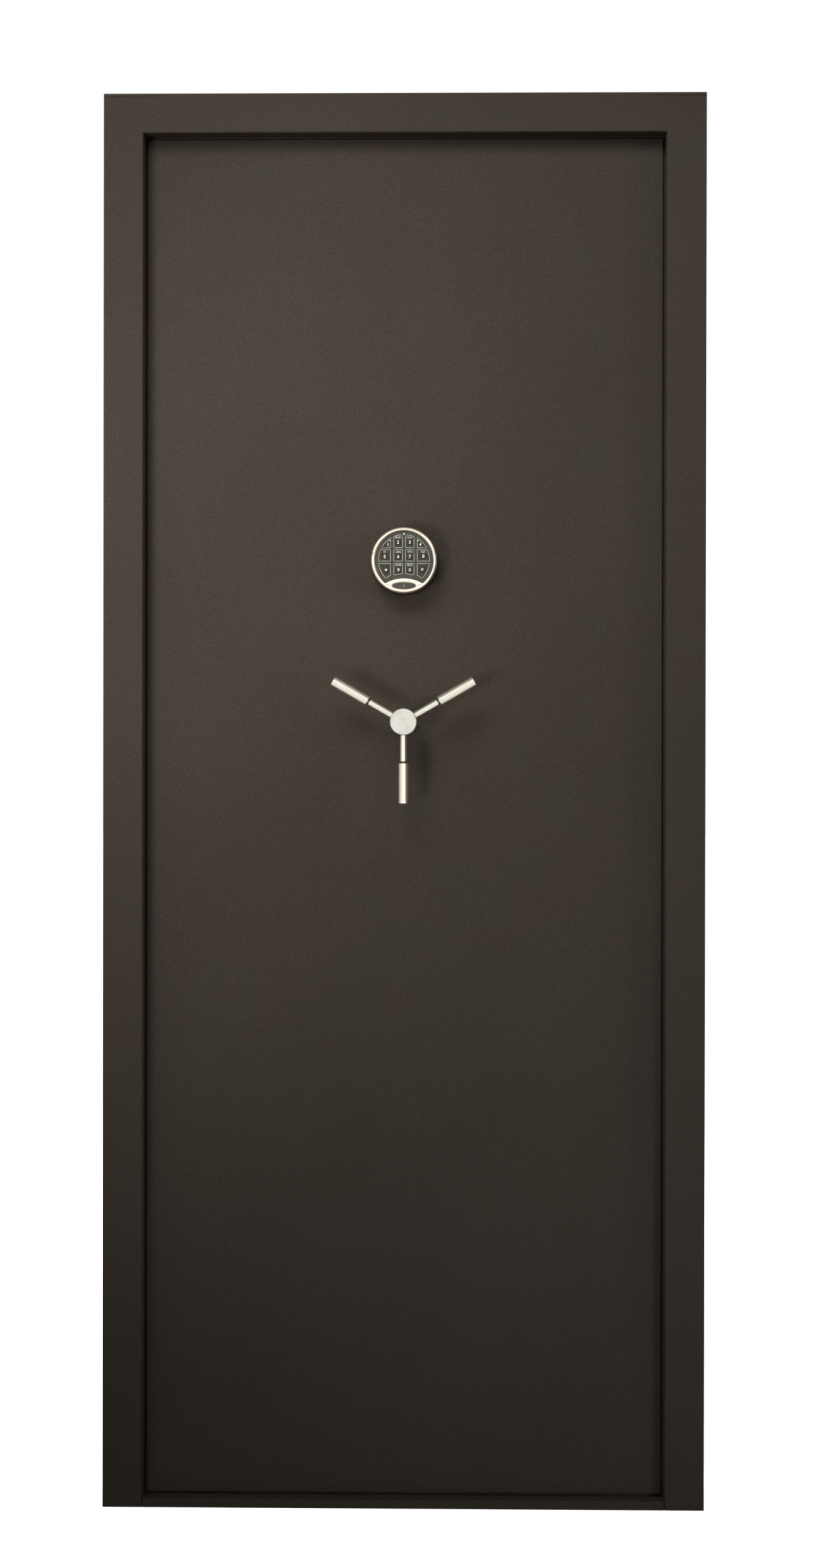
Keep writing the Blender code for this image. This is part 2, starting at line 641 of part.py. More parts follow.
def build_top_bolts(finishes, door):
    slide = axis_empty("top_bolts_slide", (0, BAR_FRONT, TOP_BAR_OUTER), door)
    outer, inner = TOP_BAR_OUTER, TOP_BAR_OUTER - BAR_SHEET
    tail = BOLT_DEPTH + BOLT_RADIUS
    section = [
        (BAR_FRONT, outer - BAR_LEG),
        (BAR_FRONT, outer),
        (tail, outer),
        (tail, inner),
        (BAR_BACK, inner),
        (BAR_BACK, outer - BAR_LEG),
    ]
    reach = max(TOP_BOLT_OFFSETS.values()) + BAR_OVERHANG / 2
    bar = prism("top_bolt_bar", section, "X", -reach, reach, finishes["zinc"], slide)
    strap_front = (BAR_FRONT + BAR_BACK - ARM_SHEET) / 2
    strap = slab(
        "top_strap",
        (-ARM_HALF_WIDTH, strap_front, HANDLE_HEIGHT + ARM_START),
        (ARM_HALF_WIDTH, strap_front + ARM_SHEET, outer - BAR_LEG / 2),
        None,
    )
    weld(bar, strap)
    follower_pin(bar, (0, HANDLE_HEIGHT + CAM_PIN_CIRCLE))
    notch_half = LOCK_BOLT_SIZE[2] / 2 + 2 * RUNNING_GAP
    for height in (LOCK_BOLT_HEIGHT, LOCK_BOLT_HEIGHT - BOLT_TRAVEL):
        mill(
            bar,
            (-ARM_HALF_WIDTH - CUT, BAR_FRONT - CUT, height - notch_half),
            (-ARM_HALF_WIDTH + LOCK_BOLT_TRAVEL + RUNNING_GAP, BAR_BACK + CUT, height + notch_half),
        )
    for label, offset in TOP_BOLT_OFFSETS.items():
        turned(
            f"top_bolt_{label}", bolt_profile(),
            (offset, BOLT_DEPTH, TOP_BAR_OUTER + TOUCH), (0, 0, 1),
            finishes["chrome"], slide, steps=24,
        )


def spiral_slot(start_angle):
    """The slot of one follower: its radius grows by the bolt travel over the cam's turn."""
    steps, cap_steps = 12, 5
    half = CAM_PIN_RADIUS + RUNNING_GAP

    def on_spiral(share):
        angle = start_angle - CAM_TURN * share
        radius = CAM_PIN_CIRCLE + BOLT_TRAVEL * share
        return radius * Vector((math.cos(angle), math.sin(angle)))

    def heading(share):
        step = 0.01
        return (on_spiral(share + step) - on_spiral(share - step)).normalized()

    shares = [k / steps for k in range(steps + 1)]
    left = [on_spiral(s) + half * Vector((-heading(s).y, heading(s).x)) for s in shares]
    right = [on_spiral(s) - half * Vector((-heading(s).y, heading(s).x)) for s in shares]
    caps = []
    for share, begin in ((1.0, left[-1]), (0.0, right[0])):
        spoke = begin - on_spiral(share)
        caps.append(
            [
                on_spiral(share) + Matrix.Rotation(-math.pi * k / cap_steps, 2) @ spoke
                for k in range(1, cap_steps)
            ]
        )
    outline = left + caps[0] + right[::-1] + caps[1]
    return [(point.x, point.y + HANDLE_HEIGHT) for point in outline]


def build_cam(finishes, handle):
    centre = (0, (CAM_FRONT + CAM_BACK) / 2, HANDLE_HEIGHT)
    outline = circle(CAM_RADIUS, 48, (0, HANDLE_HEIGHT))
    cam = prism(
        "cam_plate", outline, "Y", CAM_FRONT, CAM_BACK, finishes["zinc"], handle, at=centre
    )
    drill(cam, centre, (0, 1, 0), SPINDLE_RADIUS + TOUCH, CAM_SHEET + 2 * CUT)
    for label, angle in (("right", 0), ("top", 90), ("left", 180)):
        slot = prism(
            f"cam_slot_{label}", spiral_slot(math.radians(angle)), "Y",
            CAM_FRONT - CUT, CAM_BACK + CUT, None,
        )
        combine(cam, slot, "DIFFERENCE")


# ---------------------------------------------------------------- handle
def build_handle(finishes, door):
    handle = axis_empty("handle_axis", (0, PLATE_FRONT, HANDLE_HEIGHT), door)
    base = (0, PLATE_FRONT, HANDLE_HEIGHT)
    outward = (0, -1, 0)
    collar_bore = SPINDLE_RADIUS + RUNNING_GAP
    collar = [
        (collar_bore, TOUCH),
        (COLLAR_RADIUS, TOUCH),
        (COLLAR_RADIUS, COLLAR_HEIGHT - 0.002),
        (COLLAR_RADIUS - 0.002, COLLAR_HEIGHT),
        (collar_bore, COLLAR_HEIGHT),
    ]
    turned("handle_collar", collar, base, outward, finishes["chrome"], door, 40, bored=True)

    hub_back = HUB_FACE - HUB_THICKNESS
    bore, bore_end = SPINDLE_RADIUS + TOUCH, HUB_FACE - 0.018
    hub_profile = [
        (bore, COLLAR_HEIGHT + RUNNING_GAP),
        (HUB_NECK_RADIUS, COLLAR_HEIGHT + RUNNING_GAP),
        (HUB_NECK_RADIUS, hub_back),
        (HUB_RADIUS - 0.001, hub_back),
        (HUB_RADIUS, hub_back + 0.001),
        (HUB_RADIUS, HUB_FACE - 0.0022),
        (HUB_RADIUS - 0.0007, HUB_FACE - 0.0010),
        (HUB_RADIUS - 0.0024, HUB_FACE - 0.0003),
        (0.0, HUB_FACE),
        (0.0, bore_end),
        (bore, bore_end),
    ]
    hub = turned("handle_hub", hub_profile, base, outward, finishes["chrome"], handle, 48, bored=True)
    spoke_centre = Vector((0, SPOKE_DEPTH, HANDLE_HEIGHT))
    grip_floor = GRIP_START + GRIP_BORE_DEPTH
    rod_profile = [
        (0, HUB_RADIUS - ROD_SOCKET + TOUCH),
        (ROD_RADIUS, HUB_RADIUS - ROD_SOCKET + TOUCH),
        (ROD_RADIUS, ROD_NECK_START - 0.0005),
        (ROD_RADIUS - 0.0005, ROD_NECK_START),
        (ROD_NECK_RADIUS, ROD_NECK_START),
        (ROD_NECK_RADIUS, grip_floor - TOUCH),
        (0, grip_floor - TOUCH),
    ]
    bore = ROD_NECK_RADIUS + TOUCH
    grip_profile = [
        (bore, GRIP_START),
        (GRIP_RADIUS - 0.0006, GRIP_START),
        (GRIP_RADIUS, GRIP_START + 0.0006),
        (GRIP_RADIUS, GRIP_END - 0.0008),
        (GRIP_RADIUS - 0.0008, GRIP_END),
        (0, GRIP_END),
        (0, grip_floor),
        (bore, grip_floor),
    ]
    for label, degrees in SPOKE_ANGLES.items():
        angle = math.radians(degrees)
        along = Vector((math.cos(angle), 0, math.sin(angle)))
        drill(
            hub, spoke_centre + along * HUB_RADIUS, along,
            ROD_RADIUS + TOUCH, 2 * ROD_SOCKET, steps=20,
        )
        turned(
            f"{label}_spoke_rod", rod_profile, spoke_centre, along, finishes["chrome"],
            handle, steps=20,
        )
        turned(
            f"{label}_spoke_grip", grip_profile, spoke_centre, along, finishes["chrome"],
            handle, steps=24, bored=True,
        )

    inside_face = FRAME_DEPTH + INSIDE_HUB_HEIGHT - 0.008
    spindle_profile = [
        (0, PLATE_FRONT - bore_end + TOUCH),
        (SPINDLE_RADIUS, PLATE_FRONT - bore_end + TOUCH),
        (SPINDLE_RADIUS, inside_face - TOUCH),
        (0, inside_face - TOUCH),
    ]
    turned(
        "handle_spindle", spindle_profile, (0, 0, HANDLE_HEIGHT), (0, 1, 0), finishes["steel"],
        handle, steps=24,
    )
    build_cam(finishes, handle)
    build_inside_lever(finishes, handle, inside_face)


def build_inside_lever(finishes, handle, bore_end):
    """The escape lever on the vault side, fixed to the same spindle."""
    base = FRAME_DEPTH + 0.003
    top = FRAME_DEPTH + INSIDE_HUB_HEIGHT
    profile = [
        (SPINDLE_RADIUS + TOUCH, base),
        (INSIDE_HUB_RADIUS, base),
        (INSIDE_HUB_RADIUS, top - 0.003),
        (INSIDE_HUB_RADIUS - 0.003, top),
        (0, top),
        (0, bore_end),
        (SPINDLE_RADIUS + TOUCH, bore_end),
    ]
    at = (0, 0, HANDLE_HEIGHT)
    lever = turned(
        "inside_release_lever", profile, at, (0, 1, 0), finishes["enamel"], handle, 32, bored=True
    )
    grip_depth = bore_end - 0.010
    end = INSIDE_LEVER_LENGTH
    arm_profile = [
        (0, SPINDLE_RADIUS + 0.003),
        (INSIDE_LEVER_RADIUS, SPINDLE_RADIUS + 0.003),
        (INSIDE_LEVER_RADIUS, end - 0.003),
        (INSIDE_LEVER_RADIUS - 0.003, end),
        (0, end),
    ]
    arm = turned(
        "inside_lever_arm", arm_profile, (0, grip_depth, HANDLE_HEIGHT), (1, 0, 0), None, steps=20
    )
    weld(lever, arm)


# ---------------------------------------------------------------- keypad
def clip(outline, point, normal):
    """Keeps what lies behind the line through `point` with that outward normal."""
    kept = []
    for i, here in enumerate(outline):
        there = outline[(i + 1) % len(outline)]
        a = (here - point).dot(normal)
        b = (there - point).dot(normal)
        if a <= 0:
            kept.append(here)
        if (a < 0 < b) or (b < 0 < a):
            kept.append(here.lerp(there, a / (a - b)))
    return kept


def key_outline(column, row, grow=0.0):
    """A cell of the key grid, trimmed by the key field's circle, its arch and the lamp's corner."""
    (left, right), (low, high) = KEY_COLUMNS[column], KEY_ROWS[row]
    cell = [
        Vector(p)
        for p in (
            (left - grow, low - grow), (right + grow, low - grow),
            (right + grow, high + grow), (left - grow, high + grow),
        )
    ]
    rim_steps = 64
    for k in range(rim_steps):
        angle = 2 * math.pi * k / rim_steps
        normal = Vector((math.cos(angle), math.sin(angle)))
        cell = clip(cell, normal * (KEY_FIELD_RADIUS + grow), normal)
    arch_centre = Vector((0, ARCH_CENTRE))
    across = (Vector(((left + right) / 2, low)) - arch_centre).normalized()
    cell = clip(cell, arch_centre + across * (KEY_FIELD_ARCH - grow), -across)
    if row == 0 and column in (1, 2):
        side = math.copysign(1, left + right)
        lamp = Vector((-side * LAMP_CUT_SLOPE[0], LAMP_CUT_SLOPE[1])).normalized()
        corner = Vector((right if side < 0 else left, KEY_FIELD_RADIUS))
        cell = clip(cell, corner - lamp * (LAMP_CUT - grow), lamp)
    return soften(cell, KEY_CORNER + grow)


def soften(outline, radius):
    """Rounds the corners of an outline and leaves its shallow bends alone."""
    points = [p for i, p in enumerate(outline) if (p - outline[i - 1]).length > 1e-5]
    marked = []
    for i, point in enumerate(points):
        before = point - points[i - 1]
        after = points[(i + 1) % len(points)] - point
        sharp = abs(before.angle(after)) > math.radians(20)
        marked.append((point.x, point.y, radius if sharp else 0.0))
    return rounded(marked, steps=2)


def face_outline(shrink):
    """The key face: the bezel's inner circle, closed below by the arch."""
    radius = KEYPAD_RADIUS - BEZEL_WIDTH - shrink
    arch = ARCH_RADIUS + shrink
    crossing = (radius**2 + ARCH_CENTRE**2 - arch**2) / (2 * ARCH_CENTRE)
    half = math.sqrt(radius**2 - crossing**2)
    start = math.atan2(crossing, half)
    rim_steps, arch_steps = 44, 10
    sweep = math.pi - 2 * start
    outline = [
        (radius * math.cos(start + sweep * k / rim_steps), radius * math.sin(start + sweep * k / rim_steps))
        for k in range(rim_steps + 1)
    ]
    lean = math.asin(half / arch)
    for k in range(1, arch_steps):
        angle = math.pi / 2 + lean - 2 * lean * k / arch_steps
        outline.append((arch * math.cos(angle), ARCH_CENTRE + arch * math.sin(angle)))
    return outline


def ellipse(half_width, half_height, steps):
    turns = [2 * math.pi * k / steps for k in range(steps)]
    return [(half_width * math.cos(a), half_height * math.sin(a)) for a in turns]


def lifted(outline, rise):
    return [(u, v + rise) for u, v in outline]


def build_keypad(finishes, door):
    centre = Vector((0, PLATE_FRONT, KEYPAD_HEIGHT))
    top = KEYPAD_DEPTH
    radius = KEYPAD_RADIUS
    crown_steps = 6
    crown_width = BEZEL_WIDTH * 0.75
    profile = [(0, TOUCH), (radius + KEYPAD_DRAFT, TOUCH), (radius, top - BEZEL_CROWN)]
    for k in range(1, crown_steps + 1):
        angle = math.pi / 2 * k / crown_steps
        profile.append(
            (
                radius - crown_width * (1 - math.cos(angle)),
                top - BEZEL_CROWN * (1 - math.sin(angle)),
            )
        )
    profile += [(radius - BEZEL_WIDTH, top - BEZEL_STEP), (0, top - BEZEL_STEP)]
    housing = turned(
        "keypad_housing", profile, centre, (0, -1, 0), finishes["chrome"], door, steps=64
    )
    face_front = PLATE_FRONT - (top - FACE_DEPTH)
    face_back = face_front + FACE_SHEET
    floor = PLATE_FRONT - TOUCH - KEYPAD_WALL
    pocket = prism(
        "face_pocket", lifted(face_outline(0.0), KEYPAD_HEIGHT), "Y",
        PLATE_FRONT - top - CUT, face_back + TOUCH, None,
    )
    combine(housing, pocket, "DIFFERENCE")
    cavity = prism(
        "keypad_cavity", lifted(face_outline(KEYPAD_LEDGE), KEYPAD_HEIGHT), "Y",
        face_back - 0.001, floor, None,
    )
    combine(housing, cavity, "DIFFERENCE")
    badge_place = KEYPAD_HEIGHT + BADGE_CENTRE
    badge_back = PLATE_FRONT - (top - BEZEL_STEP) + BADGE_SHEET
    badge_pocket = prism(
        "badge_pocket", lifted(ellipse(*BADGE_HALF, 32), badge_place), "Y",
        PLATE_FRONT - top - CUT, badge_back + TOUCH, None,
    )
    combine(housing, badge_pocket, "DIFFERENCE")
    drill(housing, centre, (0, 1, 0), 1.5 * CABLE_RADIUS, 2 * CUT, steps=16)
    badge_shape = ellipse(BADGE_HALF[0] - TOUCH, BADGE_HALF[1] - TOUCH, 32)
    prism(
        "badge_plate", lifted(badge_shape, badge_place), "Y",
        badge_back - BADGE_SHEET + TOUCH, badge_back, finishes["plastic"], door,
    )

    face = prism(
        "keypad_face", lifted(face_outline(TOUCH), KEYPAD_HEIGHT), "Y", face_front, face_back,
        finishes["plastic"], door,
    )
    key_front = face_front - KEY_PROUD
    for row, names in enumerate(KEY_NAMES):
        for column, name in enumerate(names):
            window = prism(
                f"window_{name}", lifted(key_outline(column, row, KEY_CLEARANCE), KEYPAD_HEIGHT),
                "Y", face_front - CUT, face_back + CUT, None,
            )
            combine(face, window, "DIFFERENCE")
            prism(
                f"key_{name}", lifted(key_outline(column, row), KEYPAD_HEIGHT),
                "Y", key_front, key_front + KEY_BODY, finishes["rubber"], door, edge=0.0003,
            )
    board_back = floor - 0.0005 - BATTERY_SIZE[1] - 0.0005
    board = lifted(face_outline(KEYPAD_LEDGE + RUNNING_GAP), KEYPAD_HEIGHT)
    circuit = prism(
        "circuit_board", board, "Y", board_back - BOARD_SHEET, board_back,
        finishes["circuit"], door,
    )
    slot_half, slot_top = 2 * CABLE_RADIUS, KEYPAD_HEIGHT - 4 * CABLE_RADIUS
    mill(
        circuit,
        (-slot_half, board_back - BOARD_SHEET - CUT, KEYPAD_HEIGHT - KEYPAD_RADIUS),
        (slot_half, board_back + CUT, slot_top),
    )
    battery_low = KEYPAD_HEIGHT + 0.004
    slab(
        "battery",
        (-BATTERY_SIZE[0] / 2, floor - 0.0005 - BATTERY_SIZE[1], battery_low),
        (BATTERY_SIZE[0] / 2, floor - 0.0005, battery_low + BATTERY_SIZE[2]),
        finishes["battery"], door, chamfer=0.001,
    )


# ---------------------------------------------------------------- lock
def build_lock(finishes, door):
    low = LOCK_CORNER
    high = low + Vector(LOCK_SIZE)
    body = slab("lock_body", low, high, finishes["zinc"], door, chamfer=0.0015)
    bolt_centre_depth = (BAR_FRONT + BAR_BACK) / 2
    half_depth, half_height = LOCK_BOLT_SIZE[1] / 2, LOCK_BOLT_SIZE[2] / 2
    tip = -ARM_HALF_WIDTH - RUNNING_GAP
    bolt_tip = Vector((tip, bolt_centre_depth, LOCK_BOLT_HEIGHT))
    bolt_low = bolt_tip - Vector((LOCK_BOLT_SIZE[0], half_depth, half_height))
    bolt_high = bolt_tip + Vector((0, half_depth, half_height))
    gap = Vector((RUNNING_GAP,) * 3)
    mill(body, bolt_low - gap, bolt_high + gap + Vector((2 * CUT, 0, 0)))
    slab(
        "lock_bolt", bolt_low, bolt_high, finishes["brass"], door, at=bolt_tip, chamfer=0.001
    )
    build_cable(finishes, door, high.x)


def build_cable(finishes, door, lock_side):
    """The keypad's lead: straight through the leaf, one quarter bend, then into the lock's side."""
    start = PLATE_FRONT - TOUCH - KEYPAD_WALL - 4 * CABLE_RADIUS
    turn_depth = HARD_PLATE_BACK + TOUCH
    bend = CABLE_BEND
    points = [Vector((0, start + (turn_depth - start) * k / 8, KEYPAD_HEIGHT)) for k in range(8)]
    for k in range(9):
        angle = math.pi / 2 * k / 8
        points.append(
            Vector((-bend * (1 - math.cos(angle)), turn_depth + bend * math.sin(angle), KEYPAD_HEIGHT))
        )
    points.append(Vector((lock_side + TOUCH, turn_depth + bend, KEYPAD_HEIGHT)))
    origin = points[8]
    curve = bpy.data.curves.new("keypad_cable", "CURVE")
    curve.dimensions = "3D"
    curve.bevel_depth = CABLE_RADIUS
    curve.bevel_resolution = 2
    curve.use_fill_caps = True
    curve.materials.append(finishes["plastic"])
    spline = curve.splines.new("POLY")
    spline.points.add(len(points) - 1)
    for slot, point in zip(spline.points, points):
        slot.co = (*(point - origin), 1.0)
    cable = bpy.data.objects.new("keypad_cable", curve)
    bpy.context.scene.collection.objects.link(cable)
    cable.parent = door
    cable.location = origin - origin_of(door)


def main():
    for obj in list(bpy.data.objects):
        bpy.data.objects.remove(obj)
    finishes = {
        "paint": material("textured bronze paint", (0.055, 0.047, 0.039), 0.62),
        "chrome": material("polished nickel", (0.80, 0.77, 0.70), 0.14, 1.0),
        "zinc": material("zinc-plated steel", (0.55, 0.55, 0.52), 0.38, 1.0),
        "steel": material("bright steel", (0.46, 0.46, 0.45), 0.35, 1.0),
        "brass": material("sintered bronze", (0.52, 0.36, 0.16), 0.42, 1.0),
        "enamel": material("black enamel", (0.02, 0.02, 0.02), 0.35),
        "plastic": material("black plastic", (0.030, 0.029, 0.026), 0.45),
        "rubber": material("black silicone rubber", (0.026, 0.025, 0.023), 0.60),
        "board": material("gypsum fireboard", (0.62, 0.56, 0.50), 0.90),
        "circuit": material("green circuit board", (0.02, 0.14, 0.06), 0.45),
        "battery": material("battery jacket", (0.10, 0.10, 0.11), 0.35),
    }
    build_frame(finishes)
    build_threshold(finishes)
    build_seal(finishes)
    door = axis_empty("door_hinge_axis", HINGE_AXIS)
    build_leaf(finishes, door)
    for label, height in HINGE_HEIGHTS.items():
        build_hinge(label, height, finishes, door)
    build_side_bolts("latch", 1, finishes, door)
    build_side_bolts("hinge", -1, finishes, door)
    build_top_bolts(finishes, door)
    build_handle(finishes, door)
    build_keypad(finishes, door)
    build_lock(finishes, door)


main()
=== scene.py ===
"""Looks for a vault-room door in its wall frame: finishes, detailed pieces, studio and camera."""
import math

import bmesh
import bpy
from bpy.props import FloatProperty, FloatVectorProperty, IntProperty, PointerProperty
from mathutils import Matrix, Vector


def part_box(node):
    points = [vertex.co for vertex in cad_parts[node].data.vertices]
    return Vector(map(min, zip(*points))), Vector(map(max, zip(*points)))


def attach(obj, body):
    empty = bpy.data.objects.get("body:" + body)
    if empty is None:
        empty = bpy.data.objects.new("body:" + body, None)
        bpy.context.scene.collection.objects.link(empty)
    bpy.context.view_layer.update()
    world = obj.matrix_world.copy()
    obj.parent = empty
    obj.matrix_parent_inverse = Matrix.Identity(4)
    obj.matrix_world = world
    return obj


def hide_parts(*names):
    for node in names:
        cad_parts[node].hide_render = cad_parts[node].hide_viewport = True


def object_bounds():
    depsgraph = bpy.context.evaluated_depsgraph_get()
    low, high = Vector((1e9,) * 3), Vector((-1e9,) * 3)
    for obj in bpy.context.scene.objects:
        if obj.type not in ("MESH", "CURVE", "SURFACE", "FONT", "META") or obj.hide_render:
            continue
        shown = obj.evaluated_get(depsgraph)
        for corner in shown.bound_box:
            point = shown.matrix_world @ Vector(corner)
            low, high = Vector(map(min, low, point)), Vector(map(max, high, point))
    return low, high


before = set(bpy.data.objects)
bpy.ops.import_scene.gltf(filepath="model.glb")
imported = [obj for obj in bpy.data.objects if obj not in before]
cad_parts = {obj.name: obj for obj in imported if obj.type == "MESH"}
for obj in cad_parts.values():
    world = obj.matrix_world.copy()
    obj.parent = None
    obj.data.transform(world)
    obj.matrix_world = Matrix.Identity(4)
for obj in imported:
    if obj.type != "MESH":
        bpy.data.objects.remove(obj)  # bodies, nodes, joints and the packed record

bl_info = {
    "name": "Vault Room Door",
    "version": (1, 0, 0),
    "blender": (4, 5, 0),
    "location": "View3D > Sidebar > Vault Door",
    "description": "Builds the visible pieces and finishes of a vault-room door in its frame",
    "category": "Object",
}

# ---------------------------------------------------------------- places read from the frame
LOWEST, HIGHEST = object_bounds()
PLATE_LOW, PLATE_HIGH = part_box("front_plate")
PLATE_FRONT = PLATE_LOW.y
FRAME_LOW, FRAME_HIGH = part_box("door_frame")
COVER_LOW, COVER_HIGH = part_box("rear_cover")
HOUSING_LOW, HOUSING_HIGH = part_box("keypad_housing")
FACE_LOW, FACE_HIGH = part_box("keypad_face")
BADGE_LOW, BADGE_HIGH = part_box("badge_plate")
BOARD_LOW, BOARD_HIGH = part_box("circuit_board")
CABLE_LOW, CABLE_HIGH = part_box("keypad_cable")
HUB_LOW, HUB_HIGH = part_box("handle_hub")
COLLAR_LOW, COLLAR_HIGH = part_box("handle_collar")
ROD_LOW, ROD_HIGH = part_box("lower_spoke_rod")
GRIP_LOW, GRIP_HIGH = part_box("lower_spoke_grip")
LEVER_LOW, LEVER_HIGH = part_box("inside_release_lever")
HANDLE_CENTRE = Vector((0, PLATE_FRONT, (HUB_LOW.z + HUB_HIGH.z) / 2))
KEYPAD_CENTRE = Vector((0, PLATE_FRONT, (HOUSING_LOW.z + HOUSING_HIGH.z) / 2))
HINGES = ("lower", "middle", "upper")
BOLTS = {
    "latch_bolts": [f"latch_bolt_{k}" for k in (1, 2, 3)],
    "hinge_bolts": [f"hinge_bolt_{k}" for k in (1, 2, 3)],
    "top_bolts": ["top_bolt_left", "top_bolt_right"],
}
TOUCH = 0.0003  # the gap that the frame keeps between pieces that rest on each other

# The key grid, as the frame's keys lie: columns and rows counted from the keypad's centre.
KEY_NAMES = (("1", "2", "3", "4"), ("5", "6", "7", "8"), ("star", "9", "0", "hash"))
KEY_COLUMNS = ((-0.0384, -0.0184), (-0.0151, -0.0015), (0.0015, 0.0151), (0.0184, 0.0384))
KEY_ROWS = ((0.0171, 0.0384), (-0.0021, 0.0156), (-0.0290, -0.0041))
KEY_FIELD_RADIUS = 0.0374
KEY_FIELD_ARCH = 0.0565
KEY_CORNER = 0.0012
LAMP_CUT = 0.0027
LAMP_CUT_SLOPE = (0.83, 0.56)
ARCH_RADIUS = 0.0510
ARCH_CENTRE = -0.0769
KEYPAD_DRAFT = 0.0016
KEYPAD_WALL = 0.0020
KEYPAD_LEDGE = 0.0025
# What is printed on each key: (sign, its place, letters above it, their place from the sign)
LETTER_RISE = 0.0067
KEY_PRINT = {
    "1": ("1", (-0.0228, 0.0224), "A", (0.0022, 0.0056)),
    "2": ("2", (-0.0085, 0.0257), "BCD", (0.0, LETTER_RISE)),
    "3": ("3", (0.0083, 0.0257), "EFG", (0.0, LETTER_RISE)),
    "4": ("4", (0.0234, 0.0224), "H", (-0.0029, 0.0056)),
    "5": ("5", (-0.0275, 0.0050), "IJK", (0.0, LETTER_RISE)),
    "6": ("6", (-0.0081, 0.0050), "LMN", (0.0, LETTER_RISE)),
    "7": ("7", (0.0085, 0.0050), "OPQ", (0.0, LETTER_RISE)),
    "8": ("8", (0.0278, 0.0056), "RST", (0.0, LETTER_RISE - 0.0006)),
    "star": ("*", (-0.0256, -0.0140), "", (0.0, 0.0)),
    "9": ("9", (-0.0079, -0.0140), "UVW", (0.0, LETTER_RISE)),
    "0": ("0", (0.0085, -0.0140), "XYZ", (0.0, LETTER_RISE)),
    "hash": ("#", (0.0262, -0.0134), "", (0.0, 0.0)),
}


# ---------------------------------------------------------------- tools
def linear(code):
    """An sRGB hex colour as linear red, green, blue and alpha."""
    parts = [int(code[k : k + 2], 16) / 255 for k in (0, 2, 4)]
    low_end = 0.04045
    return (*(p / 12.92 if p <= low_end else ((p + 0.055) / 1.055) ** 2.4 for p in parts), 1.0)


def add_node(tree, kind, inputs=None, stops=None, **settings):
    """Adds a node with its settings, its ramp stops, and a value or a link for each listed input."""
    made = tree.nodes.new(kind)
    for name, value in settings.items():
        setattr(made, name, value)
    if stops:
        ramp = made.color_ramp.elements
        while len(ramp) < len(stops):
            ramp.new(0.5)
        for element, (place, colour) in zip(ramp, stops):
            element.position = place
            element.color = linear(colour)
    for name, value in (inputs or {}).items():
        if isinstance(value, bpy.types.NodeSocket):
            tree.links.new(value, made.inputs[name])
        else:
            made.inputs[name].default_value = value
    return made


def new_material(name, **constants):
    """A material with its shader's plain numbers set on the shader's own sockets."""
    made = bpy.data.materials.new(name)
    made.use_nodes = True
    shader = made.node_tree.nodes["Principled BSDF"]
    for key, value in constants.items():
        shader.inputs[key.replace("_", " ")].default_value = value
    return made, made.node_tree, shader


def piece(name, mesh, body, finish, stands_for=()):
    """Makes an object of a finished mesh, rides it on its body and hides the packed parts that it stands for."""
    made = bpy.data.objects.new(name, mesh)
    bpy.context.scene.collection.objects.link(made)
    if finish:
        mesh.materials.append(finish)
    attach(made, body)
    if stands_for:
        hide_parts(*stands_for)
    return made


def mesh_of(name, bm, sharp=35):
    """Turns a bmesh into a mesh with outward faces and sharp edges where it bends hard."""
    bmesh.ops.remove_doubles(bm, verts=bm.verts, dist=1e-7)
    bmesh.ops.recalc_face_normals(bm, faces=bm.faces)
    mesh = bpy.data.meshes.new(name)
    bm.to_mesh(mesh)
    bm.free()
    mesh.shade_smooth()
    mesh.set_sharp_from_angle(angle=math.radians(sharp))
    return mesh


def loft(bm, rings, closed=False):
    """Skins rings of equal length; the ends get a face each, or the last ring joins the first."""
    loops = [[bm.verts.new(point) for point in ring] for ring in rings]
    pairs = list(zip(loops, loops[1:]))
    if closed:
        pairs.append((loops[-1], loops[0]))
    for low, high in pairs:
        for k, vert in enumerate(low):
            after = (k + 1) % len(low)
            bm.faces.new((vert, low[after], high[after], high[k]))
    if not closed:
        bm.faces.new(loops[0])
        bm.faces.new(loops[-1])


def firmed(profile, near=0.0003):
    """Adds points near both ends of each long run, which keeps smooth shading on the curves alone."""
    points = [profile[0]]
    for here, there in zip(profile, profile[1:]):
        start, run = Vector(here), Vector(there) - Vector(here)
        if run.length > 4 * near:
            points += [tuple(start + run.normalized() * near), tuple(start + run - run.normalized() * near)]
        points.append(there)
    return points


def lathe(bm, profile, at, axis, steps=96):
    """Turns (radius, along) pairs about an axis; a profile that leaves the axis closes on itself."""
    profile = firmed(profile)
    turn = Vector((0, 0, 1)).rotation_difference(Vector(axis)).to_matrix()
    rings = []
    for radius, along in profile:
        ring = []
        for k in range(steps):
            angle = 2 * math.pi * k / steps
            point = Vector((radius * math.cos(angle), radius * math.sin(angle), along))
            ring.append(Vector(at) + turn @ point)
        rings.append(ring)
    bored = profile[0][0] > 1e-6 and profile[-1][0] > 1e-6
    if bored:
        loft(bm, rings, closed=True)
        return
    inner = [k for k, (radius, _) in enumerate(profile) if radius <= 1e-6]
    loft_poles(bm, rings, inner)


def loft_poles(bm, rings, poles):
    """Skins turned rings whose first and last are single points on the axis."""
    loops = []
    for k, ring in enumerate(rings):
        if k in poles:
            loops.append([bm.verts.new(ring[0])])
        else:
            loops.append([bm.verts.new(point) for point in ring])
    for low, high in zip(loops, loops[1:]):
        count = max(len(low), len(high))
        for k in range(count):
            after = (k + 1) % count
            corners = [low[k % len(low)], low[after % len(low)], high[after % len(high)], high[k % len(high)]]
            unique = list(dict.fromkeys(corners))
            if len(unique) > 2:
                bm.faces.new(unique)


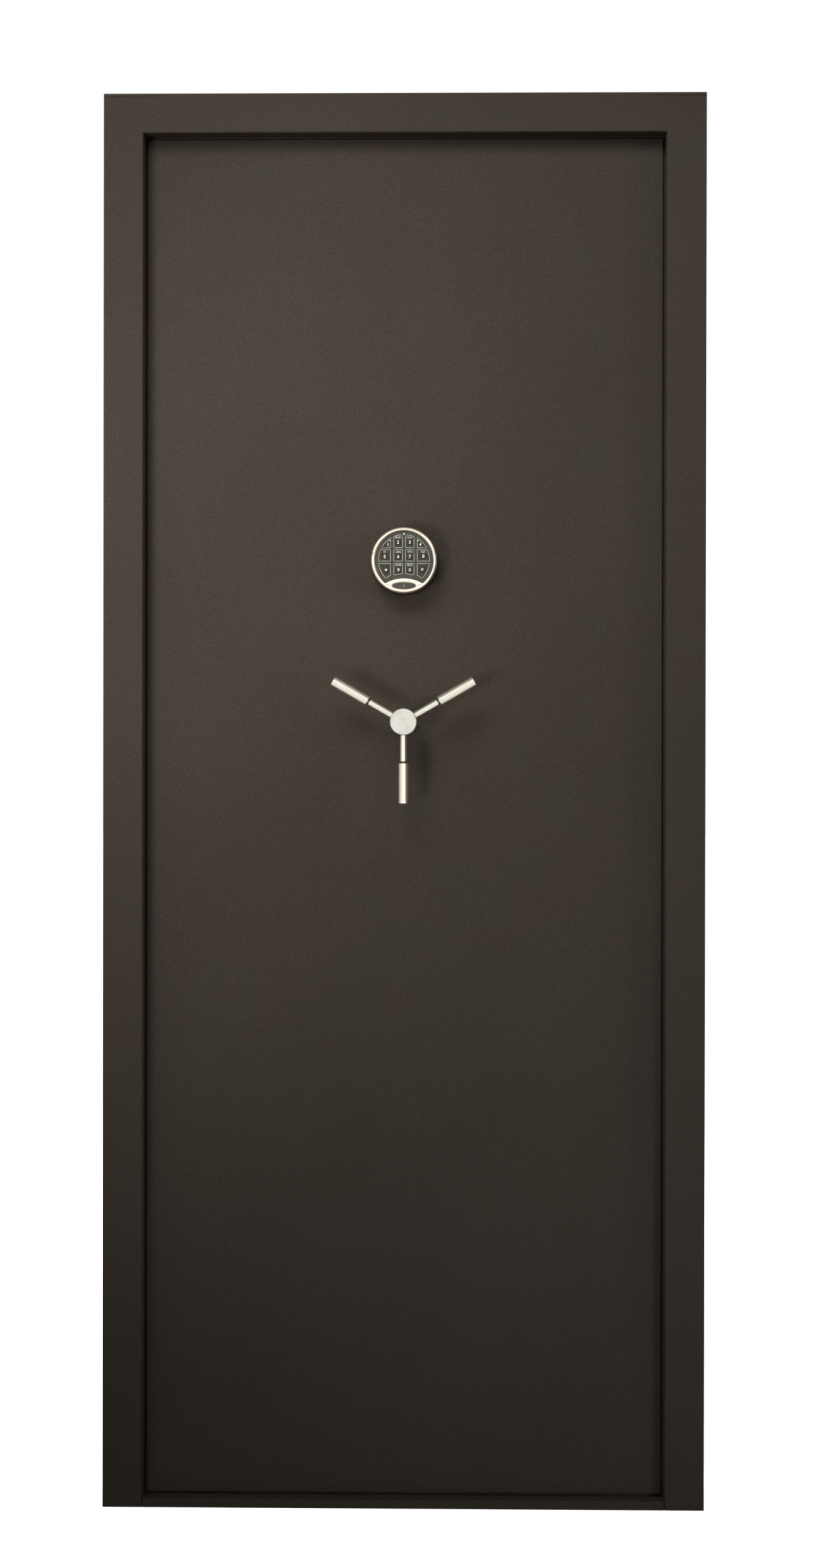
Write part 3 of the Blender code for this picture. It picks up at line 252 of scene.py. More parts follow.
def corner_arc(centre, radius, start, end, steps=6):
    """Points of an arc in a (radius, along) profile, from one angle in degrees to another."""
    points = []
    for k in range(steps + 1):
        angle = math.radians(start + (end - start) * k / steps)
        points.append((centre[0] + radius * math.cos(angle), centre[1] + radius * math.sin(angle)))
    return points


def baked(obj):
    """The evaluated mesh of an object, after which the object and its old mesh are removed."""
    bpy.context.view_layer.update()
    mesh = bpy.data.meshes.new_from_object(obj.evaluated_get(bpy.context.evaluated_depsgraph_get()))
    old = obj.data
    bpy.data.objects.remove(obj)
    if isinstance(old, bpy.types.Mesh):
        bpy.data.meshes.remove(old)
    return mesh


def temporary(name, data):
    made = bpy.data.objects.new(name, data)
    bpy.context.scene.collection.objects.link(made)
    return made


def cut_by(mesh, cutter_mesh):
    """The mesh with the cutter's shape taken out of it."""
    target, tool = temporary("cut_target", mesh), temporary("cut_tool", cutter_mesh)
    modifier = target.modifiers.new("cut", "BOOLEAN")
    modifier.operation, modifier.solver, modifier.object = "DIFFERENCE", "EXACT", tool
    result = baked(target)
    bpy.data.objects.remove(tool)
    return result


# ---------------------------------------------------------------- finishes
def powder_coat():
    """Textured polyester powder coat, sprayed and oven-cured on steel: soft pebbles that glint."""
    paint = bpy.context.scene.vault_paint
    made, tree, shader = new_material("textured_bronze_powder_coat", IOR=1.5, Specular_IOR_Level=0.07)
    place = add_node(tree, "ShaderNodeTexCoord").outputs["Object"]
    # Real pebbles are about 1.5 mm wide; they are drawn a little wider so that they show.
    pebbles = add_node(
        tree, "ShaderNodeTexVoronoi", {"Vector": place, "Scale": 1 / paint.pebble, "Smoothness": 0.7},
        feature="SMOOTH_F1",
    )
    peel = add_node(tree, "ShaderNodeTexNoise", {"Vector": place, "Scale": 1 / 0.0034, "Detail": 2.0})
    grit = add_node(tree, "ShaderNodeTexNoise", {"Vector": place, "Scale": 1 / 0.0013, "Detail": 1.0})
    cloud = add_node(tree, "ShaderNodeTexNoise", {"Vector": place, "Scale": 1 / 0.06, "Detail": 4.0})
    patch = add_node(tree, "ShaderNodeTexNoise", {"Vector": place, "Scale": 1 / 0.35, "Detail": 2.0})
    tint = add_node(
        tree, "ShaderNodeMix", {"Factor": cloud.outputs["Fac"], "A": paint.colour, "B": paint.second_colour},
        data_type="RGBA",
    )
    # Painted highlight and shade: pebble tops are painted lighter and the hollows between them darker, on top of the
    # bump.
    relief = add_node(
        tree, "ShaderNodeMapRange",
        {"Value": pebbles.outputs["Distance"], "From Min": 0.0, "From Max": 0.45, "To Min": 1.46, "To Max": 0.82},
    )
    drift = add_node(
        tree, "ShaderNodeMapRange",
        {"Value": patch.outputs["Fac"], "From Min": 0.3, "From Max": 0.7, "To Min": 0.94, "To Max": 1.06},
    )
    shade = add_node(
        tree, "ShaderNodeMath", {0: relief.outputs["Result"], 1: drift.outputs["Result"]}, operation="MULTIPLY"
    )
    scaled = add_node(
        tree, "ShaderNodeVectorMath", {0: tint.outputs["Result"], "Scale": shade.outputs["Value"]},
        operation="SCALE",
    )
    tree.links.new(scaled.outputs["Vector"], shader.inputs["Base Color"])
    gloss = add_node(
        tree, "ShaderNodeMapRange",
        {"Value": grit.outputs["Fac"], "From Min": 0.3, "From Max": 0.7, "To Min": 0.40, "To Max": 0.58},
    )
    tree.links.new(gloss.outputs["Result"], shader.inputs["Roughness"])
    # Round the ground welds of the two top corners the coat lies thicker and wrinkles.
    corners = []
    for side in (FRAME_LOW.x, FRAME_HIGH.x):
        corners.append(
            add_node(
                tree, "ShaderNodeVectorMath", {0: place, 1: (side, FRAME_LOW.y, FRAME_HIGH.z)},
                operation="DISTANCE",
            ).outputs["Value"]
        )
    nearest = add_node(tree, "ShaderNodeMath", {0: corners[0], 1: corners[1]}, operation="MINIMUM")
    near_weld = add_node(
        tree, "ShaderNodeMapRange",
        {"Value": nearest.outputs["Value"], "From Min": 0.03, "From Max": 0.11, "To Min": 1.6, "To Max": 0.20},
    )
    wrinkle = add_node(
        tree, "ShaderNodeMath", {0: peel.outputs["Fac"], 1: near_weld.outputs["Result"]}, operation="MULTIPLY"
    )
    lumps = add_node(
        tree, "ShaderNodeMath", {0: wrinkle.outputs["Value"], 1: pebbles.outputs["Distance"]},
        operation="SUBTRACT",
    )
    speckle = add_node(
        tree, "ShaderNodeMath", {0: grit.outputs["Fac"], 1: 0.8, 2: lumps.outputs["Value"]},
        operation="MULTIPLY_ADD",
    )
    # Sheet edges under the coat are softly rounded, so that they catch a thin line of light.
    rounded = add_node(tree, "ShaderNodeBevel", {"Radius": paint.edge}, samples=4)
    bump = add_node(
        tree, "ShaderNodeBump",
        {
            "Height": speckle.outputs["Value"], "Distance": paint.relief, "Strength": 1.0,
            "Normal": rounded.outputs["Normal"],
        },
    )
    tree.links.new(bump.outputs["Normal"], shader.inputs["Normal"])
    return made


def polished_nickel(name, pale, dark):
    """Buffed nickel plate under clear lacquer: a mirror with milky haze and hairline scratches."""
    made, tree, shader = new_material(name, Metallic=0.8)
    place = add_node(tree, "ShaderNodeTexCoord").outputs["Object"]
    haze = add_node(tree, "ShaderNodeTexNoise", {"Vector": place, "Scale": 1 / 0.012, "Detail": 5.0})
    lines = add_node(tree, "ShaderNodeMapping", {"Vector": place, "Scale": (1.0, 0.08, 1.0), "Rotation": (0.4, 0.0, 0.7)})
    hairs = add_node(
        tree, "ShaderNodeTexNoise", {"Vector": lines.outputs["Vector"], "Scale": 1 / 0.0006, "Detail": 2.0}
    )
    colour = add_node(
        tree, "ShaderNodeMix", {"Factor": haze.outputs["Fac"], "A": linear(pale), "B": linear(dark)},
        data_type="RGBA",
    )
    tree.links.new(colour.outputs["Result"], shader.inputs["Base Color"])
    mixed = add_node(
        tree, "ShaderNodeMath", {0: haze.outputs["Fac"], 1: hairs.outputs["Fac"]}, operation="MULTIPLY"
    )
    rough = add_node(
        tree, "ShaderNodeMapRange",
        {"Value": mixed.outputs["Value"], "From Min": 0.1, "From Max": 0.45, "To Min": 0.05, "To Max": 0.10},
    )
    tree.links.new(rough.outputs["Result"], shader.inputs["Roughness"])
    bump = add_node(
        tree, "ShaderNodeBump", {"Height": hairs.outputs["Fac"], "Distance": 0.000003, "Strength": 0.4}
    )
    tree.links.new(bump.outputs["Normal"], shader.inputs["Normal"])
    return made


def satin_nickel():
    """Nickel plate over a bead-blasted casting: a milky white face with soft clouds."""
    made, tree, shader = new_material("lacquered_satin_nickel", Metallic=0.8)
    place = add_node(tree, "ShaderNodeTexCoord").outputs["Object"]
    cloud = add_node(
        tree, "ShaderNodeTexNoise", {"Vector": place, "Scale": 1 / 0.011, "Detail": 6.0, "Roughness": 0.62}
    )
    blast = add_node(tree, "ShaderNodeTexNoise", {"Vector": place, "Scale": 1 / 0.0005, "Detail": 2.0})
    colour = add_node(
        tree, "ShaderNodeValToRGB", {"Fac": cloud.outputs["Fac"]},
        stops=((0.30, "B6B6B3"), (0.48, "C5C5C2"), (0.62, "CDCDCA"), (0.75, "BFBEBA")),
    )
    tree.links.new(colour.outputs["Color"], shader.inputs["Base Color"])
    rough = add_node(
        tree, "ShaderNodeMapRange",
        {"Value": cloud.outputs["Fac"], "From Min": 0.3, "From Max": 0.7, "To Min": 0.34, "To Max": 0.46},
    )
    tree.links.new(rough.outputs["Result"], shader.inputs["Roughness"])
    bump = add_node(
        tree, "ShaderNodeBump", {"Height": blast.outputs["Fac"], "Distance": 0.00002, "Strength": 0.8}
    )
    tree.links.new(bump.outputs["Normal"], shader.inputs["Normal"])
    return made


def turned_steel(name, along, pale, dark):
    """Bar steel turned and polished: bright, with fine rings round the bar where the tool went."""
    made, tree, shader = new_material(name, Metallic=1.0)
    place = add_node(tree, "ShaderNodeTexCoord").outputs["Object"]
    squeeze = tuple(1.0 if k == "XYZ".index(along) else 0.02 for k in range(3))
    stretched = add_node(tree, "ShaderNodeMapping", {"Vector": place, "Scale": squeeze})
    rings = add_node(
        tree, "ShaderNodeTexNoise", {"Vector": stretched.outputs["Vector"], "Scale": 1 / 0.0012, "Detail": 4.0}
    )
    smear = add_node(tree, "ShaderNodeTexNoise", {"Vector": place, "Scale": 1 / 0.018, "Detail": 4.0})
    colour = add_node(
        tree, "ShaderNodeMix", {"Factor": rings.outputs["Fac"], "A": linear(pale), "B": linear(dark)},
        data_type="RGBA",
    )
    tree.links.new(colour.outputs["Result"], shader.inputs["Base Color"])
    mixed = add_node(
        tree, "ShaderNodeMath", {0: rings.outputs["Fac"], 1: smear.outputs["Fac"]}, operation="ADD"
    )
    rough = add_node(
        tree, "ShaderNodeMapRange",
        {"Value": mixed.outputs["Value"], "From Min": 0.6, "From Max": 1.4, "To Min": 0.16, "To Max": 0.34},
    )
    tree.links.new(rough.outputs["Result"], shader.inputs["Roughness"])
    bump = add_node(
        tree, "ShaderNodeBump", {"Height": rings.outputs["Fac"], "Distance": 0.00002, "Strength": 0.7}
    )
    tree.links.new(bump.outputs["Normal"], shader.inputs["Normal"])
    return made


def zinc_plate():
    """Steel sheet with bright zinc plate and clear passivate: grey with faint blue and straw clouds."""
    made, tree, shader = new_material("zinc_plated_steel_sheet", Metallic=1.0)
    place = add_node(tree, "ShaderNodeTexCoord").outputs["Object"]
    spangle = add_node(tree, "ShaderNodeTexVoronoi", {"Vector": place, "Scale": 1 / 0.007})
    cloud = add_node(tree, "ShaderNodeTexNoise", {"Vector": place, "Scale": 1 / 0.05, "Detail": 5.0})
    colour = add_node(
        tree, "ShaderNodeValToRGB", {"Fac": cloud.outputs["Fac"]},
        stops=((0.32, "A9B0B4"), (0.50, "BFC1BC"), (0.66, "C2B99F")),
    )
    tree.links.new(colour.outputs["Color"], shader.inputs["Base Color"])
    facets = add_node(tree, "ShaderNodeSeparateColor", {"Color": spangle.outputs["Color"]})
    rough = add_node(
        tree, "ShaderNodeMapRange", {"Value": facets.outputs["Red"], "To Min": 0.28, "To Max": 0.44}
    )
    tree.links.new(rough.outputs["Result"], shader.inputs["Roughness"])
    bump = add_node(
        tree, "ShaderNodeBump", {"Height": cloud.outputs["Fac"], "Distance": 0.0003, "Strength": 0.5}
    )
    tree.links.new(bump.outputs["Normal"], shader.inputs["Normal"])
    return made


def ground_steel():
    """Through-hardened plate, surface-ground: long straight grinding lines on dull grey."""
    made, tree, shader = new_material("ground_hardened_steel", Metallic=1.0)
    place = add_node(tree, "ShaderNodeTexCoord").outputs["Object"]
    stretched = add_node(tree, "ShaderNodeMapping", {"Vector": place, "Scale": (0.03, 1.0, 1.0)})
    lines = add_node(
        tree, "ShaderNodeTexNoise", {"Vector": stretched.outputs["Vector"], "Scale": 1 / 0.0011, "Detail": 3.0}
    )
    stain = add_node(tree, "ShaderNodeTexNoise", {"Vector": place, "Scale": 1 / 0.04, "Detail": 5.0})
    colour = add_node(
        tree, "ShaderNodeMix", {"Factor": stain.outputs["Fac"], "A": linear("9B9C99"), "B": linear("7F7E79")},
        data_type="RGBA",
    )
    tree.links.new(colour.outputs["Result"], shader.inputs["Base Color"])
    rough = add_node(
        tree, "ShaderNodeMapRange", {"Value": lines.outputs["Fac"], "To Min": 0.25, "To Max": 0.50}
    )
    tree.links.new(rough.outputs["Result"], shader.inputs["Roughness"])
    bump = add_node(
        tree, "ShaderNodeBump", {"Height": lines.outputs["Fac"], "Distance": 0.00003, "Strength": 0.8}
    )
    tree.links.new(bump.outputs["Normal"], shader.inputs["Normal"])
    return made


def grained(name, pale, dark, grain, rough, relief, **constants):
    """A finish with a fine even grain: two close colours, a rough range and its relief in metres."""
    made, tree, shader = new_material(name, **constants)
    place = add_node(tree, "ShaderNodeTexCoord").outputs["Object"]
    fine = add_node(tree, "ShaderNodeTexNoise", {"Vector": place, "Scale": 1 / grain, "Detail": 3.0})
    cloud = add_node(tree, "ShaderNodeTexNoise", {"Vector": place, "Scale": 0.06 / grain, "Detail": 4.0})
    mixed = add_node(
        tree, "ShaderNodeMath", {0: fine.outputs["Fac"], 1: cloud.outputs["Fac"]}, operation="MULTIPLY"
    )
    share = add_node(
        tree, "ShaderNodeMapRange", {"Value": mixed.outputs["Value"], "From Min": 0.12, "From Max": 0.38}
    )
    colour = add_node(
        tree, "ShaderNodeMix", {"Factor": share.outputs["Result"], "A": linear(dark), "B": linear(pale)},
        data_type="RGBA",
    )
    tree.links.new(colour.outputs["Result"], shader.inputs["Base Color"])
    roughness = add_node(
        tree, "ShaderNodeMapRange",
        {"Value": cloud.outputs["Fac"], "From Min": 0.3, "From Max": 0.7, "To Min": rough[0], "To Max": rough[1]},
    )
    tree.links.new(roughness.outputs["Result"], shader.inputs["Roughness"])
    bump = add_node(tree, "ShaderNodeBump", {"Height": fine.outputs["Fac"], "Distance": relief, "Strength": 1.0})
    tree.links.new(bump.outputs["Normal"], shader.inputs["Normal"])
    return made


def gypsum_paper():
    """Paper-faced gypsum board: warm grey paper with long fibres and a slight press pattern."""
    made, tree, shader = new_material("paper_faced_gypsum", IOR=1.5, Roughness=0.92)
    place = add_node(tree, "ShaderNodeTexCoord").outputs["Object"]
    stretched = add_node(tree, "ShaderNodeMapping", {"Vector": place, "Scale": (1.0, 1.0, 0.15)})
    fibres = add_node(
        tree, "ShaderNodeTexNoise", {"Vector": stretched.outputs["Vector"], "Scale": 1 / 0.0012, "Detail": 4.0}
    )
    blotch = add_node(tree, "ShaderNodeTexNoise", {"Vector": place, "Scale": 1 / 0.03, "Detail": 4.0})
    mixed = add_node(
        tree, "ShaderNodeMath", {0: fibres.outputs["Fac"], 1: blotch.outputs["Fac"]}, operation="MULTIPLY"
    )
    colour = add_node(
        tree, "ShaderNodeValToRGB", {"Fac": mixed.outputs["Value"]},
        stops=((0.12, "A89A88"), (0.25, "C4B7A4"), (0.40, "D6CAB8")),
    )
    tree.links.new(colour.outputs["Color"], shader.inputs["Base Color"])
    bump = add_node(tree, "ShaderNodeBump", {"Height": fibres.outputs["Fac"], "Distance": 0.00005, "Strength": 1.0})
    tree.links.new(bump.outputs["Normal"], shader.inputs["Normal"])
    return made


def solder_mask_board():
    """Glass-epoxy board under green solder mask: dark green with the copper tracks showing paler."""
    made, tree, shader = new_material("green_solder_mask_board", IOR=1.5, Roughness=0.32)
    place = add_node(tree, "ShaderNodeTexCoord").outputs["Object"]
    flat = add_node(tree, "ShaderNodeMapping", {"Vector": place, "Rotation": (math.pi / 2, 0.0, 0.0)})
    tracks = add_node(
        tree, "ShaderNodeTexBrick",
        {
            "Vector": flat.outputs["Vector"], "Scale": 1.0, "Color1": linear("0E4A26"),
            "Color2": linear("125A2E"), "Mortar": linear("3C8A4A"), "Mortar Size": 0.0003,
            "Brick Width": 0.0045, "Row Height": 0.0022,
        },
    )
    tree.links.new(tracks.outputs["Color"], shader.inputs["Base Color"])
    bump = add_node(tree, "ShaderNodeBump", {"Height": tracks.outputs["Fac"], "Distance": 0.00004, "Strength": 1.0})
    tree.links.new(bump.outputs["Normal"], shader.inputs["Normal"])
    return made


FINISHES = {
    "powder_coat": powder_coat,
    # Neutral white on the handle, and a warmer straw white on the keypad's casting.
    "polished_nickel": lambda: polished_nickel("lacquered_polished_nickel", "D5D4CE", "CBC9C1"),
    "warm_nickel": lambda: polished_nickel("lacquered_warm_nickel", "FFF6EA", "F8EAD8"),
    "satin_nickel": satin_nickel,
    "zinc": zinc_plate,
    "ground_steel": ground_steel,
    "gypsum": gypsum_paper,
    "board": solder_mask_board,
    # Hard chrome on turned bar: blue-white, rings round the bolt.
    "side_bolt": lambda: turned_steel("chromed_turned_steel_across", "X", "D9DADB", "B9BBBD"),
    "top_bolt": lambda: turned_steel("chromed_turned_steel_upright", "Z", "D9DADB", "B9BBBD"),
    "shaft": lambda: turned_steel("bright_drawn_steel", "Y", "B9B8B4", "94938F"),
    "pin": lambda: turned_steel("bright_drawn_steel_pin", "Z", "B9B8B4", "94938F"),
    # Pressed and sintered bronze: brown gold, open pores that kill the shine.
    "bronze": lambda: grained(
        "sintered_bronze", "B07F48", "6E4A26", 0.0006, (0.40, 0.58), 0.00004, Metallic=1.0
    ),
    # Baked black enamel: deep black under a hard gloss with a little orange peel.
    "enamel": lambda: grained(
        "baked_black_enamel", "1C1C1B", "121211", 0.0022, (0.22, 0.32), 0.00003, IOR=1.5, Coat_Weight=0.4,
        Coat_Roughness=0.12,
    ),
    # Spark-textured moulded ABS: dull dark olive grey.
    "key_face": lambda: grained(
        "spark_textured_black_abs", "3A3831", "2C2B26", 0.0007, (0.50, 0.62), 0.00004, IOR=1.54
    ),
    # Compression-moulded silicone: black, slightly waxy.
    "key_rubber": lambda: grained(
        "moulded_black_silicone", "35332E", "262520", 0.0009, (0.42, 0.55), 0.00002, IOR=1.41
    ),
    # Extruded EPDM: matt black with a dusty bloom.
    "seal": lambda: grained(
        "extruded_black_epdm", "2B2A28", "191918", 0.0008, (0.70, 0.85), 0.00005, IOR=1.5
    ),
    # Lead of extruded PVC: black, half gloss.
    "lead": lambda: grained(
        "extruded_black_pvc", "202020", "151515", 0.0012, (0.35, 0.48), 0.00002, IOR=1.53
    ),
    # Printed shrink sleeve round the cell: dark grey, glossy.
    "battery": lambda: grained(
        "printed_battery_sleeve", "3B3C40", "26272A", 0.004, (0.22, 0.34), 0.00002, IOR=1.55
    ),
    # Screen-printed epoxy ink: flat, pale grey with a hint of green.
    "sign_ink": lambda: grained(
        "pale_screen_print_ink", "E6EAE4", "D3DAD1", 0.0006, (0.45, 0.6), 0.00001, IOR=1.5
    ),
    "line_ink": lambda: grained(
        "grey_screen_print_ink", "AEB6AA", "969E93", 0.0006, (0.45, 0.6), 0.00001, IOR=1.5
    ),
    "badge_ink": lambda: grained(
        "dim_pad_print_ink", "77776C", "66665C", 0.0006, (0.45, 0.6), 0.00001, IOR=1.5
    ),
    # Diffusing acrylic lens over the lamp: milk white and glossy.
    "lens": lambda: grained(
        "milky_acrylic_lens", "FFFFFA", "F6F6EE", 0.0008, (0.12, 0.2), 0.00001, IOR=1.49,
        Emission_Color=linear("FFFDF0"), Emission_Strength=0.55,
    ),
    # Zinc-flaked screws: dull silver grey.
    "screw": lambda: grained(
        "zinc_flake_screw", "A8A9A6", "868783", 0.0011, (0.32, 0.48), 0.00003, Metallic=1.0
    ),
}


def finish(name):
    """The named finish, made the first time that a piece asks for it."""
    made = bpy.data.materials.get(bpy.context.scene.get(f"vault_finish_{name}", ""))
    if made is None:
        made = FINISHES[name]()
        bpy.context.scene[f"vault_finish_{name}"] = made.name
    return made


NODE_FINISHES = {
    "powder_coat": (
        "door_frame", "threshold", "front_plate", "door_pan", "rear_cover",
        *(f"{h}_hinge_{half}_half" for h in HINGES for half in ("frame", "door")),
    ),
    "zinc": (
        "latch_bolt_bar", "hinge_bolt_bar", "top_bolt_bar", "cam_plate", "lock_body",
    ),
    "pin": tuple(f"{h}_hinge_pin" for h in HINGES),
    "shaft": ("handle_spindle",),
    "ground_steel": ("hard_plate",),
    "bronze": ("spindle_bush", "lock_bolt"),
    "gypsum": ("fireboard",),
    "seal": ("smoke_seal",),
    "board": ("circuit_board",),
    "battery": ("battery",),
    "lead": ("keypad_cable",),
    "key_face": ("keypad_face",),
}


# ---------------------------------------------------------------- sizes and colours a user may change
class VaultPaint(bpy.types.PropertyGroup):
    """Colour and grain of the powder coat"""

    colour: FloatVectorProperty(
        name="Paint", description="Main colour of the powder coat", subtype="COLOR", size=4,
        min=0, max=1, default=linear("3F3732"),
    )
    second_colour: FloatVectorProperty(
        name="Second tint", description="Colour that the paint drifts towards in clouds",
        subtype="COLOR", size=4, min=0, max=1, default=linear("3B3933"),
    )
    pebble: FloatProperty(
        name="Pebble width", description="Distance between the pebbles of the texture",
        unit="LENGTH", default=0.0019, min=0.0005, max=0.01,
    )
    relief: FloatProperty(
        name="Pebble relief", description="Height of the pebbles", unit="LENGTH",
        default=0.00018, min=0.0, max=0.001, precision=5,
    )
    edge: FloatProperty(
        name="Edge rounding", description="Radius of the coat over the sheets' edges", unit="LENGTH",
        default=0.0015, min=0.0, max=0.005, precision=4,
    )


class VaultKeypad(bpy.types.PropertyGroup):
    """Sizes of the round keypad"""

    bezel: FloatProperty(
        name="Bezel width", description="Width of the bright ring round the keys",
        unit="LENGTH", default=0.0048, min=0.002, max=0.008,
    )
    crown: FloatProperty(
        name="Bezel crown", description="How far the ring's outside curves back",
        unit="LENGTH", default=0.0048, min=0.002, max=0.012,
    )
    inner_crown: FloatProperty(
        name="Inner rounding", description="How far the ring's inside curves back",
        unit="LENGTH", default=0.0014, min=0.0003, max=0.003,
    )
    dome: FloatProperty(
        name="Dome radius", description="Radius of the raised dome under each sign",
        unit="LENGTH", default=0.0044, min=0.002, max=0.006,
    )
    dome_rise: FloatProperty(
        name="Dome rise", description="Height of the dome above its key", unit="LENGTH",
        default=0.0010, min=0.0, max=0.002,
    )
    dip: FloatProperty(
        name="Crescent dip", description="How far the crescent round the badge dips between its ridges",
        unit="LENGTH", default=0.0009, min=0.0, max=0.002,
    )
    line: FloatProperty(
        name="Line width", description="Width of the line printed round each key",
        unit="LENGTH", default=0.0009, min=0.0003, max=0.002,
    )
    sign: FloatProperty(
        name="Sign height", description="Height of the digits", unit="LENGTH",
        default=0.0049, min=0.002, max=0.008,
    )
    letter: FloatProperty(
        name="Letter height", description="Height of the small letters", unit="LENGTH",
        default=0.0025, min=0.001, max=0.004,
    )


class VaultHandle(bpy.types.PropertyGroup):
    """Sizes of the three-spoke handle"""

    spokes: IntProperty(name="Spokes", description="Number of spokes round the hub", default=3, min=2, max=6)
    first_angle: FloatProperty(
        name="First spoke", description="Where the first spoke points, from the right",
        subtype="ANGLE", unit="ROTATION", default=math.radians(30),
    )
    hub_rounding: FloatProperty(
        name="Hub rounding", description="Radius of the edge of the hub's face", unit="LENGTH",
        default=0.0022, min=0.0005, max=0.005,
    )
    fullness: FloatProperty(
        name="Fullness", description="How much fuller rods and grips are than their packed solids",
        unit="LENGTH", default=0.0003, min=0.0, max=0.001, precision=5,
    )
    neck: FloatProperty(
        name="Neck radius", description="Radius of the groove between rod and grip",
        unit="LENGTH", default=0.0038, min=0.002, max=0.0045,
    )
    neck_start: FloatProperty(
        name="Neck start", description="Where the rod ends, from the hub's centre", unit="LENGTH",
        default=0.0563, min=0.03, max=0.058,
    )


class VaultFixings(bpy.types.PropertyGroup):
    """Screws and welds"""

    pitch: FloatProperty(
        name="Screw spacing", description="Distance between the rear cover's screws",
        unit="LENGTH", default=0.150, min=0.05, max=0.4,
    )
    inset: FloatProperty(
        name="Screw inset", description="Distance of the screws from the rear cover's edge",
        unit="LENGTH", default=0.009, min=0.005, max=0.03,
    )
    head: FloatProperty(
        name="Head radius", description="Radius of a screw head", unit="LENGTH",
        default=0.0045, min=0.002, max=0.01,
    )
    seed: IntProperty(name="Turn seed", description="Seed of the way that the screws are turned", default=7)
    ripple: FloatProperty(
        name="Weld ripple", description="Distance between the ripples of a weld", unit="LENGTH",
        default=0.0032, min=0.001, max=0.01,
    )
    bead: FloatProperty(
        name="Weld bead", description="Radius of a weld bead", unit="LENGTH", default=0.0026,
        min=0.001, max=0.006,
    )


class VaultStage(bpy.types.PropertyGroup):
    """Camera, floor and lights"""

    camera_place: FloatVectorProperty(
        name="Camera place", description="Where the camera stands", subtype="TRANSLATION",
        unit="LENGTH", size=3, default=(0.076, -3.741, 1.059),
    )
    yaw: FloatProperty(name="Yaw", description="How far the camera looks to the right", subtype="ANGLE", default=math.radians(-1.026))
    pitch: FloatProperty(name="Pitch", description="How far the camera looks up", subtype="ANGLE", default=math.radians(-0.270))
    roll: FloatProperty(name="Roll", description="How far the camera leans", subtype="ANGLE", default=math.radians(0.093))
    lens: FloatProperty(name="Lens", description="Focal length in millimetres", default=59.8, min=10, max=300)
    floor_colour: FloatVectorProperty(
        name="Floor", description="Colour of the floor", subtype="COLOR", size=4, min=0, max=1,
        default=linear("FFFFFF"),
    )


# ---------------------------------------------------------------- studio
# The room that polished metal mirrors. WALLS runs from the floor (0) to the ceiling (1): brown floor,
# cream walls, the dark edge of a white soft box above eye height, and an olive ceiling. SIDES shades
# it from the left (0) to the right (1): a dim patch behind the camera and a dark right end.
ROOM_STRENGTH = 1.75
WALLS = (
    (0.000, "5A4636"), (0.055, "8A7660"), (0.110, "DEDBD0"), (0.400, "E0DED6"), (0.500, "FFFEF8"), (0.610, "E6E4DC"),
    (0.620, "4A463C"), (0.642, "4A463C"), (0.660, "FFFFF8"), (0.820, "FBF9EE"), (0.870, "827E67"),
    (1.000, "787560"),
)
SIDES = (
    (0.00, "BBB5A8"), (0.30, "FFFFFF"), (0.45, "FFFFFF"), (0.47, "FCFCFC"), (0.53, "FCFCFC"), (0.56, "FFFFFF"),
    (0.83, "FFFFFF"), (0.92, "6E4A30"), (1.00, "40301F"),
)
# Soft lights: name, place, target, width, height, spread in degrees, power in watts, hex colour
LIGHTS = (
    ("top_left", (-0.9, -1.6, 3.2), (-0.3, 0.0, 1.7), 2.2, 1.3, 50, 10.8, "FFFCF6"),
    ("top_right", (0.9, -1.6, 3.2), (0.3, 0.0, 1.8), 0.9, 0.9, 60, 1.0, "FFFFFF"),
    ("low_left", (-1.7, -2.4, 0.6), (-0.42, 0.0, 1.40), 1.0, 1.0, 34, 3.7, "FFF8F0"),
    ("left_edge", (-2.6, -1.3, 1.5), (0.37, 0.0, 1.3), 0.8, 1.8, 35, 1.0, "FFFFFF"),
    ("right_edge", (2.6, -1.3, 1.5), (-0.37, 0.0, 1.2), 0.8, 1.8, 22, 1.9, "FFEFE6"),
    ("low_right", (1.9, -2.5, 0.5), (0.35, 0.0, 0.34), 0.7, 0.5, 28, 0.6, "FFFFFF"),
    ("right_side", (3.2, 1.0, 1.6), (0.43, 0.1, 1.0), 1.0, 1.8, 60, 14, "FFFFFF"),
    ("left_side", (-3.2, 1.0, 1.6), (-0.43, 0.1, 1.0), 1.0, 1.8, 60, 14, "FFFFFF"),
    ("rear_box", (0.9, 3.4, 2.4), (0.0, 0.1, 1.0), 2.4, 2.0, 160, 70, "FFFFFF"),
    ("rear_fill", (-2.6, 2.4, 1.6), (0.0, 0.1, 1.0), 1.2, 2.0, 160, 35, "FFFFFF"),
)


